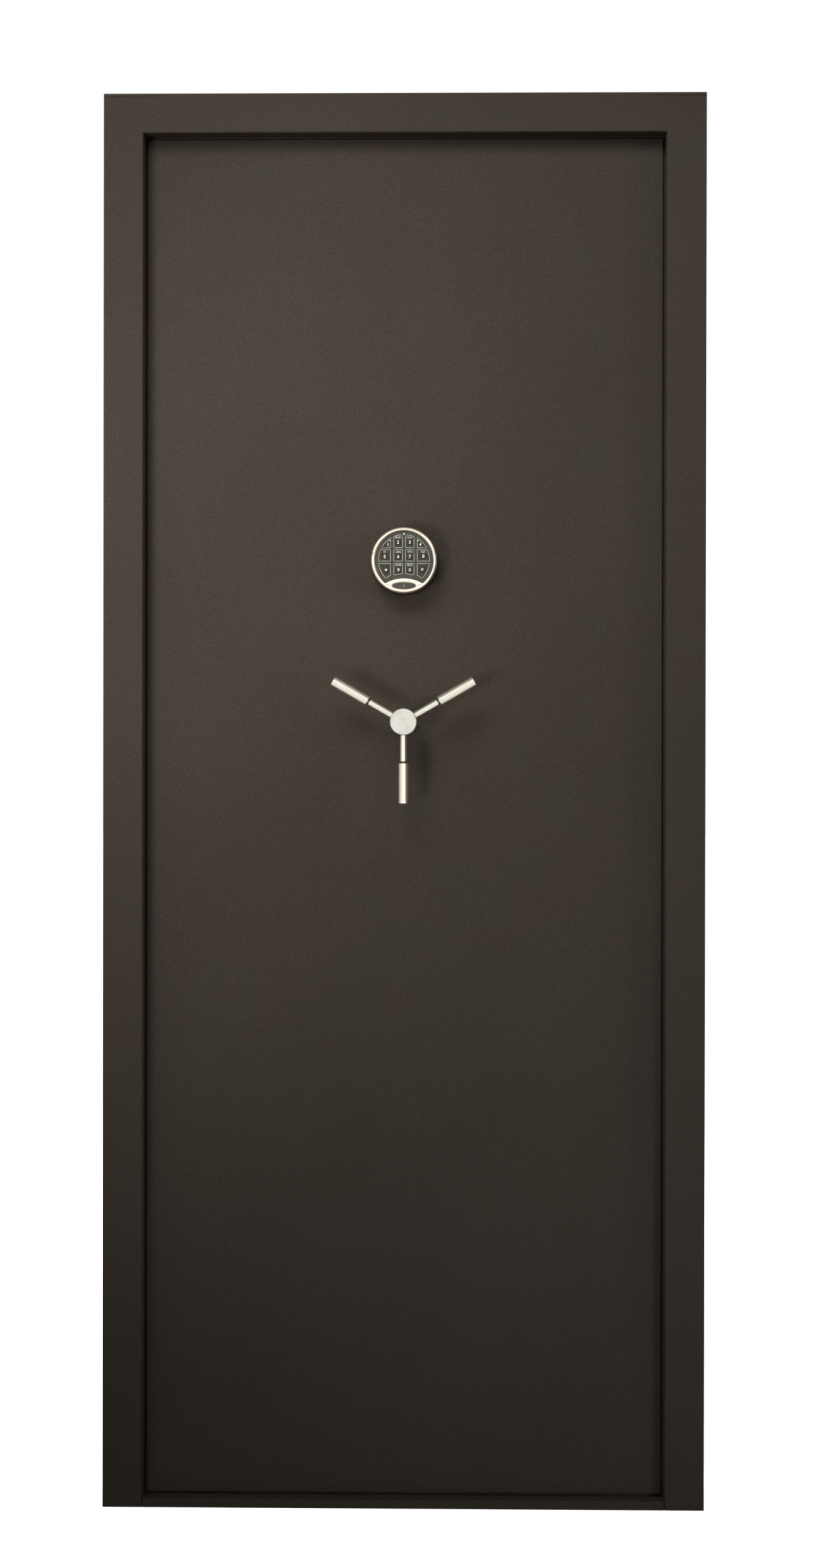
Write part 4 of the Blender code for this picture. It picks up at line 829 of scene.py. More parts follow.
class VAULT_OT_stage(bpy.types.Operator):
    """Set the floor, the soft studio lights and the camera"""

    bl_idname = "vault.stage"
    bl_label = "Stage"

    def execute(self, context):
        stage = context.scene.vault_stage
        self.set_camera(context, stage)
        self.set_floor(stage)
        for light in LIGHTS:
            self.set_light(context, *light)
        self.set_world(context)
        context.scene.view_settings.view_transform = "Standard"
        return {"FINISHED"}

    def set_camera(self, context, stage):
        forward = Vector(
            (math.sin(stage.yaw) * math.cos(stage.pitch), math.cos(stage.yaw) * math.cos(stage.pitch), math.sin(stage.pitch))
        )
        right = Vector((math.cos(stage.yaw), -math.sin(stage.yaw), 0))
        up = right.cross(forward)
        c, s = math.cos(stage.roll), math.sin(stage.roll)
        axes = (c * right + s * up, c * up - s * right, -forward)
        camera = bpy.data.cameras.new("front_camera")
        camera.lens = stage.lens
        camera.sensor_width = 36
        made = bpy.data.objects.new("front_camera", camera)
        context.scene.collection.objects.link(made)
        made.matrix_world = Matrix.Translation(stage.camera_place) @ Matrix(axes).transposed().to_4x4()
        context.scene.camera = made

    def set_floor(self, stage):
        bm = bmesh.new()
        bmesh.ops.create_grid(bm, x_segments=8, y_segments=8, size=40)
        mesh = bpy.data.meshes.new("floor")
        bm.to_mesh(mesh)
        bm.free()
        # Smooth painted studio floor: pale and even, self-lit so that it stays pale in every view.
        made, tree, shader = new_material(
            "painted_studio_floor", Roughness=0.9, Base_Color=stage.floor_colour, Emission_Strength=1.0,
            Emission_Color=stage.floor_colour,
        )
        mesh.materials.append(made)
        floor = bpy.data.objects.new("floor", mesh)
        bpy.context.scene.collection.objects.link(floor)
        mesh.transform(Matrix.Translation((0, 0, LOWEST.z - TOUCH)))
        # The floor takes shadows and is seen, but throws no light up at the door's foot.
        floor.visible_diffuse = False
        floor.visible_glossy = False

    def set_light(self, context, name, place, target, width, height, spread, power, colour):
        light = bpy.data.lights.new(name, "AREA")
        light.shape = "RECTANGLE"
        light.size, light.size_y = width, height
        light.spread = math.radians(spread)
        light.energy = power
        light.color = linear(colour)[:3]
        made = bpy.data.objects.new(name, light)
        context.scene.collection.objects.link(made)
        aim = (Vector(target) - Vector(place)).to_track_quat("-Z", "Y")
        made.matrix_world = Matrix.Translation(place) @ aim.to_matrix().to_4x4()
        # Polished metal mirrors the room alone, and not the lights' outlines.
        made.visible_camera = False
        made.visible_glossy = False

    def set_world(self, context):
        world = bpy.data.worlds.new("studio_world")
        world.use_nodes = True
        tree = world.node_tree
        tree.nodes.clear()
        place = add_node(tree, "ShaderNodeTexCoord").outputs["Generated"]
        parts = add_node(tree, "ShaderNodeSeparateXYZ", {"Vector": place})
        rise = add_node(
            tree, "ShaderNodeMapRange", {"Value": parts.outputs["Z"], "From Min": -1.0, "From Max": 1.0}
        )
        walls = add_node(
            tree, "ShaderNodeValToRGB", {"Fac": rise.outputs["Result"]},
            stops=WALLS,
        )
        across = add_node(
            tree, "ShaderNodeMapRange", {"Value": parts.outputs["X"], "From Min": -1.0, "From Max": 1.0}
        )
        sides = add_node(tree, "ShaderNodeValToRGB", {"Fac": across.outputs["Result"]}, stops=SIDES)
        shaded = add_node(
            tree, "ShaderNodeVectorMath", {0: walls.outputs["Color"], 1: sides.outputs["Color"]},
            operation="MULTIPLY",
        )
        room = add_node(
            tree, "ShaderNodeVectorMath", {0: shaded.outputs["Vector"], "Scale": ROOM_STRENGTH},
            operation="SCALE",
        )
        seen = add_node(tree, "ShaderNodeLightPath").outputs["Is Camera Ray"]
        colour = add_node(
            tree, "ShaderNodeMix", {"Factor": seen, "A": room.outputs["Vector"], "B": linear("FFFFFF")},
            data_type="RGBA",
        )
        light = add_node(tree, "ShaderNodeBackground", {"Color": colour.outputs["Result"], "Strength": 1.0})
        add_node(tree, "ShaderNodeOutputWorld", {"Surface": light.outputs["Background"]})
        world.cycles_visibility.diffuse = False
        context.scene.world = world


# ---------------------------------------------------------------- finishes of the frame's own nodes
class VAULT_OT_node_finishes(bpy.types.Operator):
    """Give every packed node that stays in view its finish"""

    bl_idname = "vault.node_finishes"
    bl_label = "Finishes of the packed nodes"

    def execute(self, context):
        for name, nodes in NODE_FINISHES.items():
            for node in nodes:
                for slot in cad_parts[node].material_slots:
                    slot.material = finish(name)
        return {"FINISHED"}


# ---------------------------------------------------------------- keypad outlines
def clip(outline, point, normal):
    """Keeps what lies behind the line through `point` with that outward normal."""
    kept = []
    for i, here in enumerate(outline):
        there = outline[(i + 1) % len(outline)]
        a = (here - point).dot(normal)
        b = (there - point).dot(normal)
        if a <= 0:
            kept.append(here)
        if (a < 0 < b) or (b < 0 < a):
            kept.append(here.lerp(there, a / (a - b)))
    return kept


def soften(outline, radius, steps=5):
    """Rounds the sharp corners of an outline and leaves its shallow bends alone."""
    points = [p for i, p in enumerate(outline) if (p - outline[i - 1]).length > 1e-5]
    softened = []
    for i, corner in enumerate(points):
        before, after = points[i - 1] - corner, points[(i + 1) % len(points)] - corner
        if abs((-before).angle(after)) < math.radians(20):
            softened.append(corner)
            continue
        half = before.angle(after) / 2
        reach = min(radius / math.tan(half), 0.49 * before.length, 0.49 * after.length)
        middle = (before.normalized() + after.normalized()).normalized()
        centre = corner + middle * (reach / math.cos(half))
        start = corner + before.normalized() * reach - centre
        sweep = start.angle_signed(corner + after.normalized() * reach - centre)
        for k in range(steps + 1):
            softened.append(centre + Matrix.Rotation(-sweep * k / steps, 2) @ start)
    return softened


def key_outline(column, row, grow=0.0):
    """A cell of the key grid, trimmed by the key field's circle, its arch and the lamp's corner."""
    (left, right), (low, high) = KEY_COLUMNS[column], KEY_ROWS[row]
    cell = [
        Vector(p)
        for p in (
            (left - grow, low - grow), (right + grow, low - grow),
            (right + grow, high + grow), (left - grow, high + grow),
        )
    ]
    rim_steps = 64
    for k in range(rim_steps):
        angle = 2 * math.pi * k / rim_steps
        normal = Vector((math.cos(angle), math.sin(angle)))
        cell = clip(cell, normal * (KEY_FIELD_RADIUS + grow), normal)
    arch_centre = Vector((0, ARCH_CENTRE))
    across = (Vector(((left + right) / 2, low)) - arch_centre).normalized()
    cell = clip(cell, arch_centre + across * (KEY_FIELD_ARCH - grow), -across)
    if row == 0 and column in (1, 2):
        side = math.copysign(1, left + right)
        lamp = Vector((-side * LAMP_CUT_SLOPE[0], LAMP_CUT_SLOPE[1])).normalized()
        corner = Vector((right if side < 0 else left, KEY_FIELD_RADIUS))
        cell = clip(cell, corner - lamp * (LAMP_CUT - grow), lamp)
    return soften(cell, KEY_CORNER + grow)


def even_steps(outline, step=0.0006):
    """The outline with its long edges divided, and every corner kept."""
    points = []
    for i, here in enumerate(outline):
        there = outline[(i + 1) % len(outline)]
        parts = max(1, round((there - here).length / step))
        points += [here.lerp(there, k / parts) for k in range(parts)]
    return points


def on_keypad(point, depth):
    """A point of the keypad's front view at a depth of the frame."""
    return Vector((point[0], depth, KEYPAD_CENTRE.z + point[1]))


def face_reach(angle, radius, arch):
    """Distance from the keypad's centre to the edge of the key face, circle or arch, eased at the corners."""
    blend = 0.0009
    direction = Vector((math.cos(angle), math.sin(angle)))
    toward = ARCH_CENTRE * direction.y
    root = toward**2 - (ARCH_CENTRE**2 - arch**2)
    if toward <= 0 or root <= 0:
        return radius
    meets = toward - math.sqrt(root)
    share = max(0.0, min(1.0, 0.5 + 0.5 * (radius - meets) / blend))
    return radius + (meets - radius) * share - blend * share * (1 - share)


# ---------------------------------------------------------------- keypad pieces
class VAULT_OT_keypad_housing(bpy.types.Operator):
    """Build the cast housing with its crowned bezel and the oval pocket"""

    bl_idname = "vault.keypad_housing"
    bl_label = "Keypad housing"

    def execute(self, context):
        sizes = context.scene.vault_keypad
        bm = bmesh.new()
        loft(bm, self.rings(sizes), closed=True)
        body = cut_by(mesh_of("keypad_body", bm), self.pocket())
        body.shade_smooth()
        body.set_sharp_from_angle(angle=math.radians(30))
        body.materials.clear()
        piece("keypad_casting", body, "door", finish("warm_nickel"), ["keypad_housing"])
        self.rim(sizes)
        self.dark_shade_band(sizes)
        self.gasket()
        return {"FINISHED"}

    def rings(self, sizes):
        """The casting's section, turned round the centre: back, side, crown, inner wall, cavity, cable hole."""
        steps = 240
        base = (HOUSING_HIGH.x - HOUSING_LOW.x) / 2
        outer = base - KEYPAD_DRAFT
        inner = outer - sizes.bezel
        top, back = HOUSING_LOW.y, HOUSING_HIGH.y
        ledge = FACE_HIGH.y + TOUCH
        floor = back - KEYPAD_WALL
        hole = 1.5 * (CABLE_HIGH.z - CABLE_LOW.z) / 2
        outside, inside = 0.75 * sizes.bezel, 0.25 * sizes.bezel
        widest = outer - outside - (ARCH_CENTRE + ARCH_RADIUS) * -1 - inside
        crown_steps = 10
        near = 0.0003
        levels = [(None, base, back), (None, outer + 0.02 * KEYPAD_DRAFT, top + sizes.crown + near)]
        for k in range(crown_steps + 1):
            angle = math.pi / 2 * k / crown_steps
            levels.append((None, outer - outside * (1 - math.cos(angle)), top + sizes.crown * (1 - math.sin(angle))))
        levels += [(share / 12, outer - outside, top) for share in range(1, 12)]
        for k in range(crown_steps + 1):
            angle = math.pi / 2 * k / crown_steps
            levels.append((1.0, inside * (1 - math.sin(angle)), top + sizes.inner_crown * (1 - math.cos(angle))))
        lip = top + sizes.inner_crown + near
        for depth, shrink in ((lip, 0.0), (ledge, 0.0), (ledge, KEYPAD_LEDGE), (floor, KEYPAD_LEDGE)):
            levels.append(("wall", shrink, depth))
        levels += [(None, hole, floor), (None, hole, back)]
        rings = []
        for kind, reach, depth in levels:
            ring = []
            for k in range(steps):
                angle = 2 * math.pi * k / steps
                dip = 0.0
                if kind is None:
                    radius = reach
                elif kind == "wall":
                    radius = face_reach(angle, inner - reach, ARCH_RADIUS + reach)
                elif kind == 1.0:
                    radius = face_reach(angle, inner, ARCH_RADIUS) + reach
                else:
                    edge = face_reach(angle, inner, ARCH_RADIUS) + inside
                    radius = reach + (edge - reach) * kind
                    room = min(1.0, (reach - edge) / widest)
                    dip = sizes.dip * room * math.sin(math.pi * kind)
                ring.append(on_keypad((radius * math.cos(angle), radius * math.sin(angle)), depth + dip))
            rings.append(ring)
        return rings

    def pocket(self):
        """The oval recess for the badge, with its edge rounded over."""
        middle = (BADGE_LOW.z + BADGE_HIGH.z) / 2 - KEYPAD_CENTRE.z
        half = (BADGE_HIGH.x + TOUCH, (BADGE_HIGH.z - BADGE_LOW.z) / 2 + TOUCH)
        top = HOUSING_LOW.y
        rounding = 0.0009
        levels = [(BADGE_HIGH.y + TOUCH, 0.0), (top + rounding, 0.0)]
        for k in range(1, 7):
            angle = math.pi / 2 * k / 6
            levels.append((top + rounding * (1 - math.sin(angle)), rounding * (1 - math.cos(angle))))
        levels.append((top - 0.005, rounding * 1.2))
        rings = []
        for depth, grow in levels:
            turns = [2 * math.pi * k / 96 for k in range(96)]
            rings.append(
                [
                    on_keypad(((half[0] + grow) * math.cos(a), middle + (half[1] + grow) * math.sin(a)), depth)
                    for a in turns
                ]
            )
        bm = bmesh.new()
        loft(bm, rings)
        return mesh_of("badge_pocket", bm)

    def rim(self, sizes):
        """The raised half-round rim of the badge's pocket."""
        middle = (BADGE_LOW.z + BADGE_HIGH.z) / 2 - KEYPAD_CENTRE.z
        half = (BADGE_HIGH.x + TOUCH, (BADGE_HIGH.z - BADGE_LOW.z) / 2 + TOUCH)
        width, height = 0.0013, 0.0008
        foot = HOUSING_LOW.y + sizes.dip + TOUCH
        crest_steps = 8
        section = [(0.0, foot)]
        for k in range(crest_steps + 1):
            angle = math.pi * k / crest_steps
            section.append((width / 2 * (1 - math.cos(angle)), HOUSING_LOW.y + height * (1 - math.sin(angle))))
        section.append((width, foot))
        turns = [2 * math.pi * k / 96 for k in range(96)]
        rings = []
        for grow, depth in section:
            rings.append(
                [
                    on_keypad(((half[0] + grow) * math.cos(a), middle + (half[1] + grow) * math.sin(a)), depth)
                    for a in turns
                ]
            )
        bm = bmesh.new()
        loft(bm, rings, closed=True)
        piece("badge_rim", mesh_of("badge_rim", bm), "door", finish("warm_nickel"))

    def dark_shade_band(self, sizes):
        """The casting's side below the crown in black enamel, with a soft step under the bright ring: painted shade, a
        dark band that stands in for the shadow and dark reflection round the casting.
        """
        base = (HOUSING_HIGH.x - HOUSING_LOW.x) / 2
        outer = base - KEYPAD_DRAFT
        proud, wall = 0.0005, 0.0015
        foot, head = PLATE_FRONT - HOUSING_HIGH.y, PLATE_FRONT - HOUSING_LOW.y - sizes.crown
        profile = [(base - wall, foot), (base + proud, foot), (outer + proud, head - proud)]
        profile += [(outer + 0.3 * proud, head), (outer - wall, head)]
        bm = bmesh.new()
        lathe(bm, profile, on_keypad((0, 0), PLATE_FRONT), (0, -1, 0), steps=160)
        # The black band is painted shade round the casting's side.
        piece("keypad_skirt", mesh_of("keypad_skirt", bm), "door", finish("enamel"))

    def gasket(self):
        """A thin black ring that seals the casting to the leaf."""
        base = (HOUSING_HIGH.x - HOUSING_LOW.x) / 2
        thick = PLATE_FRONT - HOUSING_HIGH.y
        bm = bmesh.new()
        profile = [(base - 0.004, 0.0), (base + 0.0005, 0.0), (base + 0.0005, thick), (base - 0.004, thick)]
        lathe(bm, profile, on_keypad((0, 0), PLATE_FRONT), (0, -1, 0))
        piece("keypad_gasket", mesh_of("keypad_gasket", bm), "door", finish("seal"))


class VAULT_OT_badge(bpy.types.Operator):
    """Build the plain oval badge with a keyhole, and the lamp's lens"""

    bl_idname = "vault.badge"
    bl_label = "Badge and lamp"

    def execute(self, context):
        middle = (BADGE_LOW.z + BADGE_HIGH.z) / 2 - KEYPAD_CENTRE.z
        half = (BADGE_HIGH.x, (BADGE_HIGH.z - BADGE_LOW.z) / 2)
        levels = (
            (BADGE_HIGH.y, 0.0), (BADGE_LOW.y + 0.0003, 0.0), (BADGE_LOW.y + 0.0001, 0.0001),
            (BADGE_LOW.y, 0.0004),
        )
        bm = bmesh.new()
        loft(bm, [self.oval(half, shrink, middle, depth) for depth, shrink in levels])
        piece(
            "badge", mesh_of("badge", bm), "door", finish("key_face"), ["badge_plate"]
        )
        printed = BADGE_LOW.y - 0.00008
        bm = bmesh.new()
        rim = [
            self.oval(half, shrink, middle, depth)
            for depth, shrink in ((BADGE_LOW.y, 0.0009), (printed, 0.0009), (printed, 0.0012), (BADGE_LOW.y, 0.0012))
        ]
        loft(bm, rim, closed=True)
        keyhole = self.keyhole(middle)
        loft(bm, [[on_keypad(p, BADGE_LOW.y) for p in keyhole], [on_keypad(p, printed) for p in keyhole]])
        piece("badge_print", mesh_of("badge_print", bm), "door", finish("badge_ink"))
        self.lamp()
        return {"FINISHED"}

    def oval(self, half, shrink, middle, depth):
        turns = [2 * math.pi * k / 96 for k in range(96)]
        return [
            on_keypad(((half[0] - shrink) * math.cos(a), middle + (half[1] - shrink) * math.sin(a)), depth)
            for a in turns
        ]

    def keyhole(self, middle):
        """A round head over a flared slot."""
        head, foot, drop = 0.0011, 0.0010, 0.0024
        points = [Vector((-foot, middle - drop)), Vector((foot, middle - drop))]
        for k in range(21):
            angle = math.radians(-60 + 300 * k / 20)
            points.append(Vector((head * math.cos(angle), middle + 0.0006 + head * math.sin(angle))))
        return points

    def lamp(self):
        """The lens of the lamp between the two top keys."""
        radius, rise = 0.0010, 0.0005
        profile = [(0, -0.0005), (radius, -0.0005), (radius, 0.0002)]
        profile += [
            (radius * math.cos(a), 0.0002 + rise * math.sin(a)) for a in (math.pi / 2 * k / 6 for k in range(1, 6))
        ]
        profile.append((0, 0.0002 + rise))
        bm = bmesh.new()
        lathe(bm, profile, on_keypad((0, KEY_FIELD_RADIUS), FACE_LOW.y), (0, -1, 0), steps=32)
        piece("lamp_lens", mesh_of("lamp_lens", bm), "door", finish("lens"))


class VAULT_OT_keys(bpy.types.Operator):
    """Build the twelve moulded keys with their domes, and what is printed on them"""

    bl_idname = "vault.keys"
    bl_label = "Keys"

    def execute(self, context):
        sizes = context.scene.vault_keypad
        for row, names in enumerate(KEY_NAMES):
            for column, name in enumerate(names):
                outline = even_steps(key_outline(column, row))
                self.build_key(name, outline, sizes)
                self.build_print(name, outline, sizes)
        return {"FINISHED"}

    def build_key(self, name, outline, sizes):
        low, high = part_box(f"key_{name}")
        centre = Vector(KEY_PRINT[name][1])
        flat = 0.68 * sizes.dome
        land = sizes.line + 0.0004
        moat = 0.0005
        # (distance in from the key's edge or out from the sign's centre, depth from the key's front)
        levels = [("edge", 0.0, high.y - low.y), ("edge", 0.0, 0.0004), ("edge", 0.00012, 0.00012), ("edge", 0.0004, 0.0)]
        levels += [("edge", land, 0.0), ("dome", sizes.dome + 0.0008, 0.0), ("dome", sizes.dome + 0.0005, moat)]
        levels.append(("dome", sizes.dome, moat))
        slope_steps = 6
        for k in range(1, slope_steps + 1):
            share = k / slope_steps
            eased = share * share * (3 - 2 * share)
            depth = moat - (moat + sizes.dome_rise) * eased
            levels.append(("dome", sizes.dome + (flat - sizes.dome) * share, depth))
        levels.append(("dome", flat * 0.5, -sizes.dome_rise * 1.03))
        rings = []
        for kind, reach, depth in levels:
            ring = []
            for point in outline:
                spoke = point - centre
                room = spoke.length - land
                radius = spoke.length - reach if kind == "edge" else min(reach, room * reach / (sizes.dome + 0.0008))
                if kind == "dome" and reach <= room:
                    radius = min(reach, room)
                ring.append(on_keypad(centre + spoke.normalized() * radius, low.y + depth))
            rings.append(ring)
        bm = bmesh.new()
        loops = [[bm.verts.new(point) for point in ring] for ring in rings]
        for a, b in zip(loops, loops[1:]):
            for k, vert in enumerate(a):
                after = (k + 1) % len(a)
                bm.faces.new((vert, a[after], b[after], b[k]))
        bm.faces.new(loops[0])
        tip = bm.verts.new(on_keypad(centre, low.y - sizes.dome_rise * 1.05))
        for k, vert in enumerate(loops[-1]):
            bm.faces.new((vert, loops[-1][(k + 1) % len(loops[-1])], tip))
        mesh = mesh_of(f"key_pad_{name}", bm, sharp=50)
        piece(f"key_pad_{name}", mesh, f"key_{name}", finish("key_rubber"), [f"key_{name}"])

    def build_print(self, name, outline, sizes):
        low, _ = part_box(f"key_{name}")
        sign, place, letters, offset = KEY_PRINT[name]
        ink = 0.00006
        centre = Vector(place)
        rings = []
        for inset, depth in (
            (0.00042, TOUCH / 10), (0.00042, -ink), (sizes.line + 0.0003, -ink), (sizes.line + 0.0003, TOUCH / 10)
        ):
            ring = []
            for point in outline:
                spoke = point - centre
                ring.append(on_keypad(centre + spoke * (1 - inset / spoke.length), low.y + depth))
            rings.append(ring)
        bm = bmesh.new()
        loft(bm, rings, closed=True)
        mesh = mesh_of(f"key_line_{name}", bm)
        piece(f"key_line_{name}", mesh, f"key_{name}", finish("line_ink"))
        share, weight = {"*": (0.85, 0.012), "#": (0.90, -0.003)}.get(sign, (1.0, 0.002))
        written = [self.text(sign, sizes.sign * share, centre, low.y - sizes.dome_rise * 1.03, weight)]
        if letters:
            written.append(self.text(letters, sizes.letter, centre + Vector(offset), low.y, 0.006))
        bm = bmesh.new()
        for part in written:
            bm.from_mesh(part)
            bpy.data.meshes.remove(part)
        mesh = mesh_of(f"key_sign_{name}", bm)
        piece(f"key_sign_{name}", mesh, f"key_{name}", finish("sign_ink"))

    def text(self, body, height, centre, depth, weight):
        """Raised letters of that height, centred on a point of the keypad, a hair proud of the depth."""
        curve = bpy.data.curves.new("sign", "FONT")
        curve.body = body
        curve.size = 1.0
        curve.offset = weight
        curve.space_character = 1.12
        curve.resolution_u = 3
        made = temporary("sign", curve)
        mesh = baked(made)
        bpy.data.curves.remove(curve)
        xs, ys = [v.co.x for v in mesh.vertices], [v.co.y for v in mesh.vertices]
        scale = height / (max(ys) - min(ys))
        ink = 0.00008
        bm = bmesh.new()
        bm.from_mesh(mesh)
        bpy.data.meshes.remove(mesh)
        bmesh.ops.remove_doubles(bm, verts=bm.verts, dist=1e-5)
        for vert in bm.verts:
            u = (vert.co.x - (max(xs) + min(xs)) / 2) * scale
            v = (vert.co.y - (max(ys) + min(ys)) / 2) * scale
            vert.co = on_keypad(centre + Vector((u, v)), depth + 0.00003)
        grown = bmesh.ops.extrude_face_region(bm, geom=bm.faces[:])
        moved = [g for g in grown["geom"] if isinstance(g, bmesh.types.BMVert)]
        bmesh.ops.translate(bm, vec=(0, -ink, 0), verts=moved)
        mesh = bpy.data.meshes.new("sign")
        bm.to_mesh(mesh)
        bm.free()
        return mesh


# ---------------------------------------------------------------- Geometry Nodes
def new_tree(name, inputs):
    """A geometry tree with its named inputs: {name: (socket kind, default)}."""
    tree = bpy.data.node_groups.new(name, "GeometryNodeTree")
    tree.interface.new_socket("Geometry", in_out="INPUT", socket_type="NodeSocketGeometry")
    for label, (kind, default) in inputs.items():
        socket = tree.interface.new_socket(label, in_out="INPUT", socket_type=f"NodeSocket{kind}")
        if default is not None:
            socket.default_value = default
    tree.interface.new_socket("Geometry", in_out="OUTPUT", socket_type="NodeSocketGeometry")
    return tree, add_node(tree, "NodeGroupInput").outputs


def end_tree(tree, geometry, material):
    """Ends a tree in Realize Instances and Set Material."""
    real = add_node(tree, "GeometryNodeRealizeInstances", {"Geometry": geometry})
    coated = add_node(
        tree, "GeometryNodeSetMaterial", {"Geometry": real.outputs["Geometry"], "Material": material}
    )
    add_node(tree, "NodeGroupOutput", {"Geometry": coated.outputs["Geometry"]})
    return tree


def grown_mesh(name, base, tree, values):
    """Runs a tree on a base mesh with its inputs set by identifier, and returns a plain mesh."""
    obj = bpy.data.objects.new(name, base)
    modifier = obj.modifiers.new(name, "NODES")
    modifier.node_group = tree
    for item in tree.interface.items_tree:
        if item.item_type == "SOCKET" and item.in_out == "INPUT" and item.name in values:
            modifier[item.identifier] = values[item.name]
    bpy.context.scene.collection.objects.link(obj)
    return baked(obj)


def spoke_tree():
    """Repeats one spoke round the hub's axis."""
    tree, given = new_tree(
        "spokes_round_hub",
        {"Count": ("Int", 3), "First Angle": ("Float", 0.0), "Centre": ("Vector", None), "Material": ("Material", None)},
    )
    ring = add_node(tree, "GeometryNodeMeshLine", {"Count": given["Count"], "Offset": (0.0, 0.0, 0.0)})
    number = add_node(tree, "GeometryNodeInputIndex")
    step = add_node(tree, "ShaderNodeMath", {0: 2 * math.pi, 1: given["Count"]}, operation="DIVIDE")
    angle = add_node(
        tree, "ShaderNodeMath",
        {0: number.outputs["Index"], 1: step.outputs["Value"], 2: given["First Angle"]},
        operation="MULTIPLY_ADD",
    )
    back = add_node(tree, "ShaderNodeMath", {0: angle.outputs["Value"], 1: -1.0}, operation="MULTIPLY")
    turn = add_node(tree, "ShaderNodeCombineXYZ", {"Y": back.outputs["Value"]})
    points = add_node(
        tree, "GeometryNodeInstanceOnPoints",
        {"Points": ring.outputs["Mesh"], "Instance": given["Geometry"], "Rotation": turn.outputs["Vector"]},
    )
    placed = add_node(
        tree, "GeometryNodeTransform", {"Geometry": points.outputs["Instances"], "Translation": given["Centre"]}
    )
    return end_tree(tree, placed.outputs["Geometry"], given["Material"])


def screw_tree():
    """Puts a screw head on every point, each turned its own way about its axis."""
    tree, given = new_tree(
        "screws_on_points",
        {"Head": ("Object", None), "Scale": ("Float", 1.0), "Seed": ("Int", 0), "Material": ("Material", None)},
    )
    head = add_node(tree, "GeometryNodeObjectInfo", {"Object": given["Head"], "As Instance": True})
    turn = add_node(
        tree, "FunctionNodeRandomValue",
        {"Min": (0.0, 0.0, 0.0), "Max": (0.0, 2 * math.pi, 0.0), "Seed": given["Seed"]},
        data_type="FLOAT_VECTOR",
    )
    points = add_node(
        tree, "GeometryNodeInstanceOnPoints",
        {
            "Points": given["Geometry"], "Instance": head.outputs["Geometry"],
            "Rotation": turn.outputs["Value"], "Scale": given["Scale"],
        },
    )
    return end_tree(tree, points.outputs["Instances"], given["Material"])


def weld_tree():
    """Draws a rippled weld bead along every edge path of the base mesh."""
    tree, given = new_tree(
        "rippled_weld_bead",
        {"Radius": ("Float", 0.0026), "Ripple": ("Float", 0.0032), "Seed": ("Int", 0), "Material": ("Material", None)},
    )
    path = add_node(tree, "GeometryNodeMeshToCurve", {"Mesh": given["Geometry"]})
    fine = add_node(tree, "ShaderNodeMath", {0: given["Ripple"], 1: 0.2}, operation="MULTIPLY")
    even = add_node(
        tree, "GeometryNodeResampleCurve", {"Curve": path.outputs["Curve"], "Length": fine.outputs["Value"]},
        mode="LENGTH",
    )
    along = add_node(tree, "GeometryNodeSplineParameter")
    turns = add_node(
        tree, "ShaderNodeMath", {0: along.outputs["Length"], 1: given["Ripple"]}, operation="DIVIDE"
    )
    phase = add_node(tree, "ShaderNodeMath", {0: turns.outputs["Value"]}, operation="FRACT")
    bulge = add_node(tree, "ShaderNodeMath", {0: phase.outputs["Value"], 1: 0.35}, operation="POWER")
    share = add_node(tree, "ShaderNodeMath", {0: bulge.outputs["Value"], 1: 0.22, 2: 0.80}, operation="MULTIPLY_ADD")
    uneven = add_node(
        tree, "FunctionNodeRandomValue", {"Min": 0.97, "Max": 1.05, "Seed": given["Seed"]}, data_type="FLOAT"
    )
    spread = add_node(
        tree, "ShaderNodeMath", {0: share.outputs["Value"], 1: uneven.outputs[1]}, operation="MULTIPLY"
    )
    sized = add_node(
        tree, "GeometryNodeSetCurveRadius", {"Curve": even.outputs["Curve"], "Radius": spread.outputs["Value"]}
    )
    section = add_node(tree, "GeometryNodeCurvePrimitiveCircle", {"Resolution": 12, "Radius": given["Radius"]})
    bead = add_node(
        tree, "GeometryNodeCurveToMesh",
        {"Curve": sized.outputs["Curve"], "Profile Curve": section.outputs["Curve"], "Fill Caps": True},
    )
    smooth = add_node(tree, "GeometryNodeSetShadeSmooth", {"Geometry": bead.outputs["Mesh"]})
    return end_tree(tree, smooth.outputs["Geometry"], given["Material"])


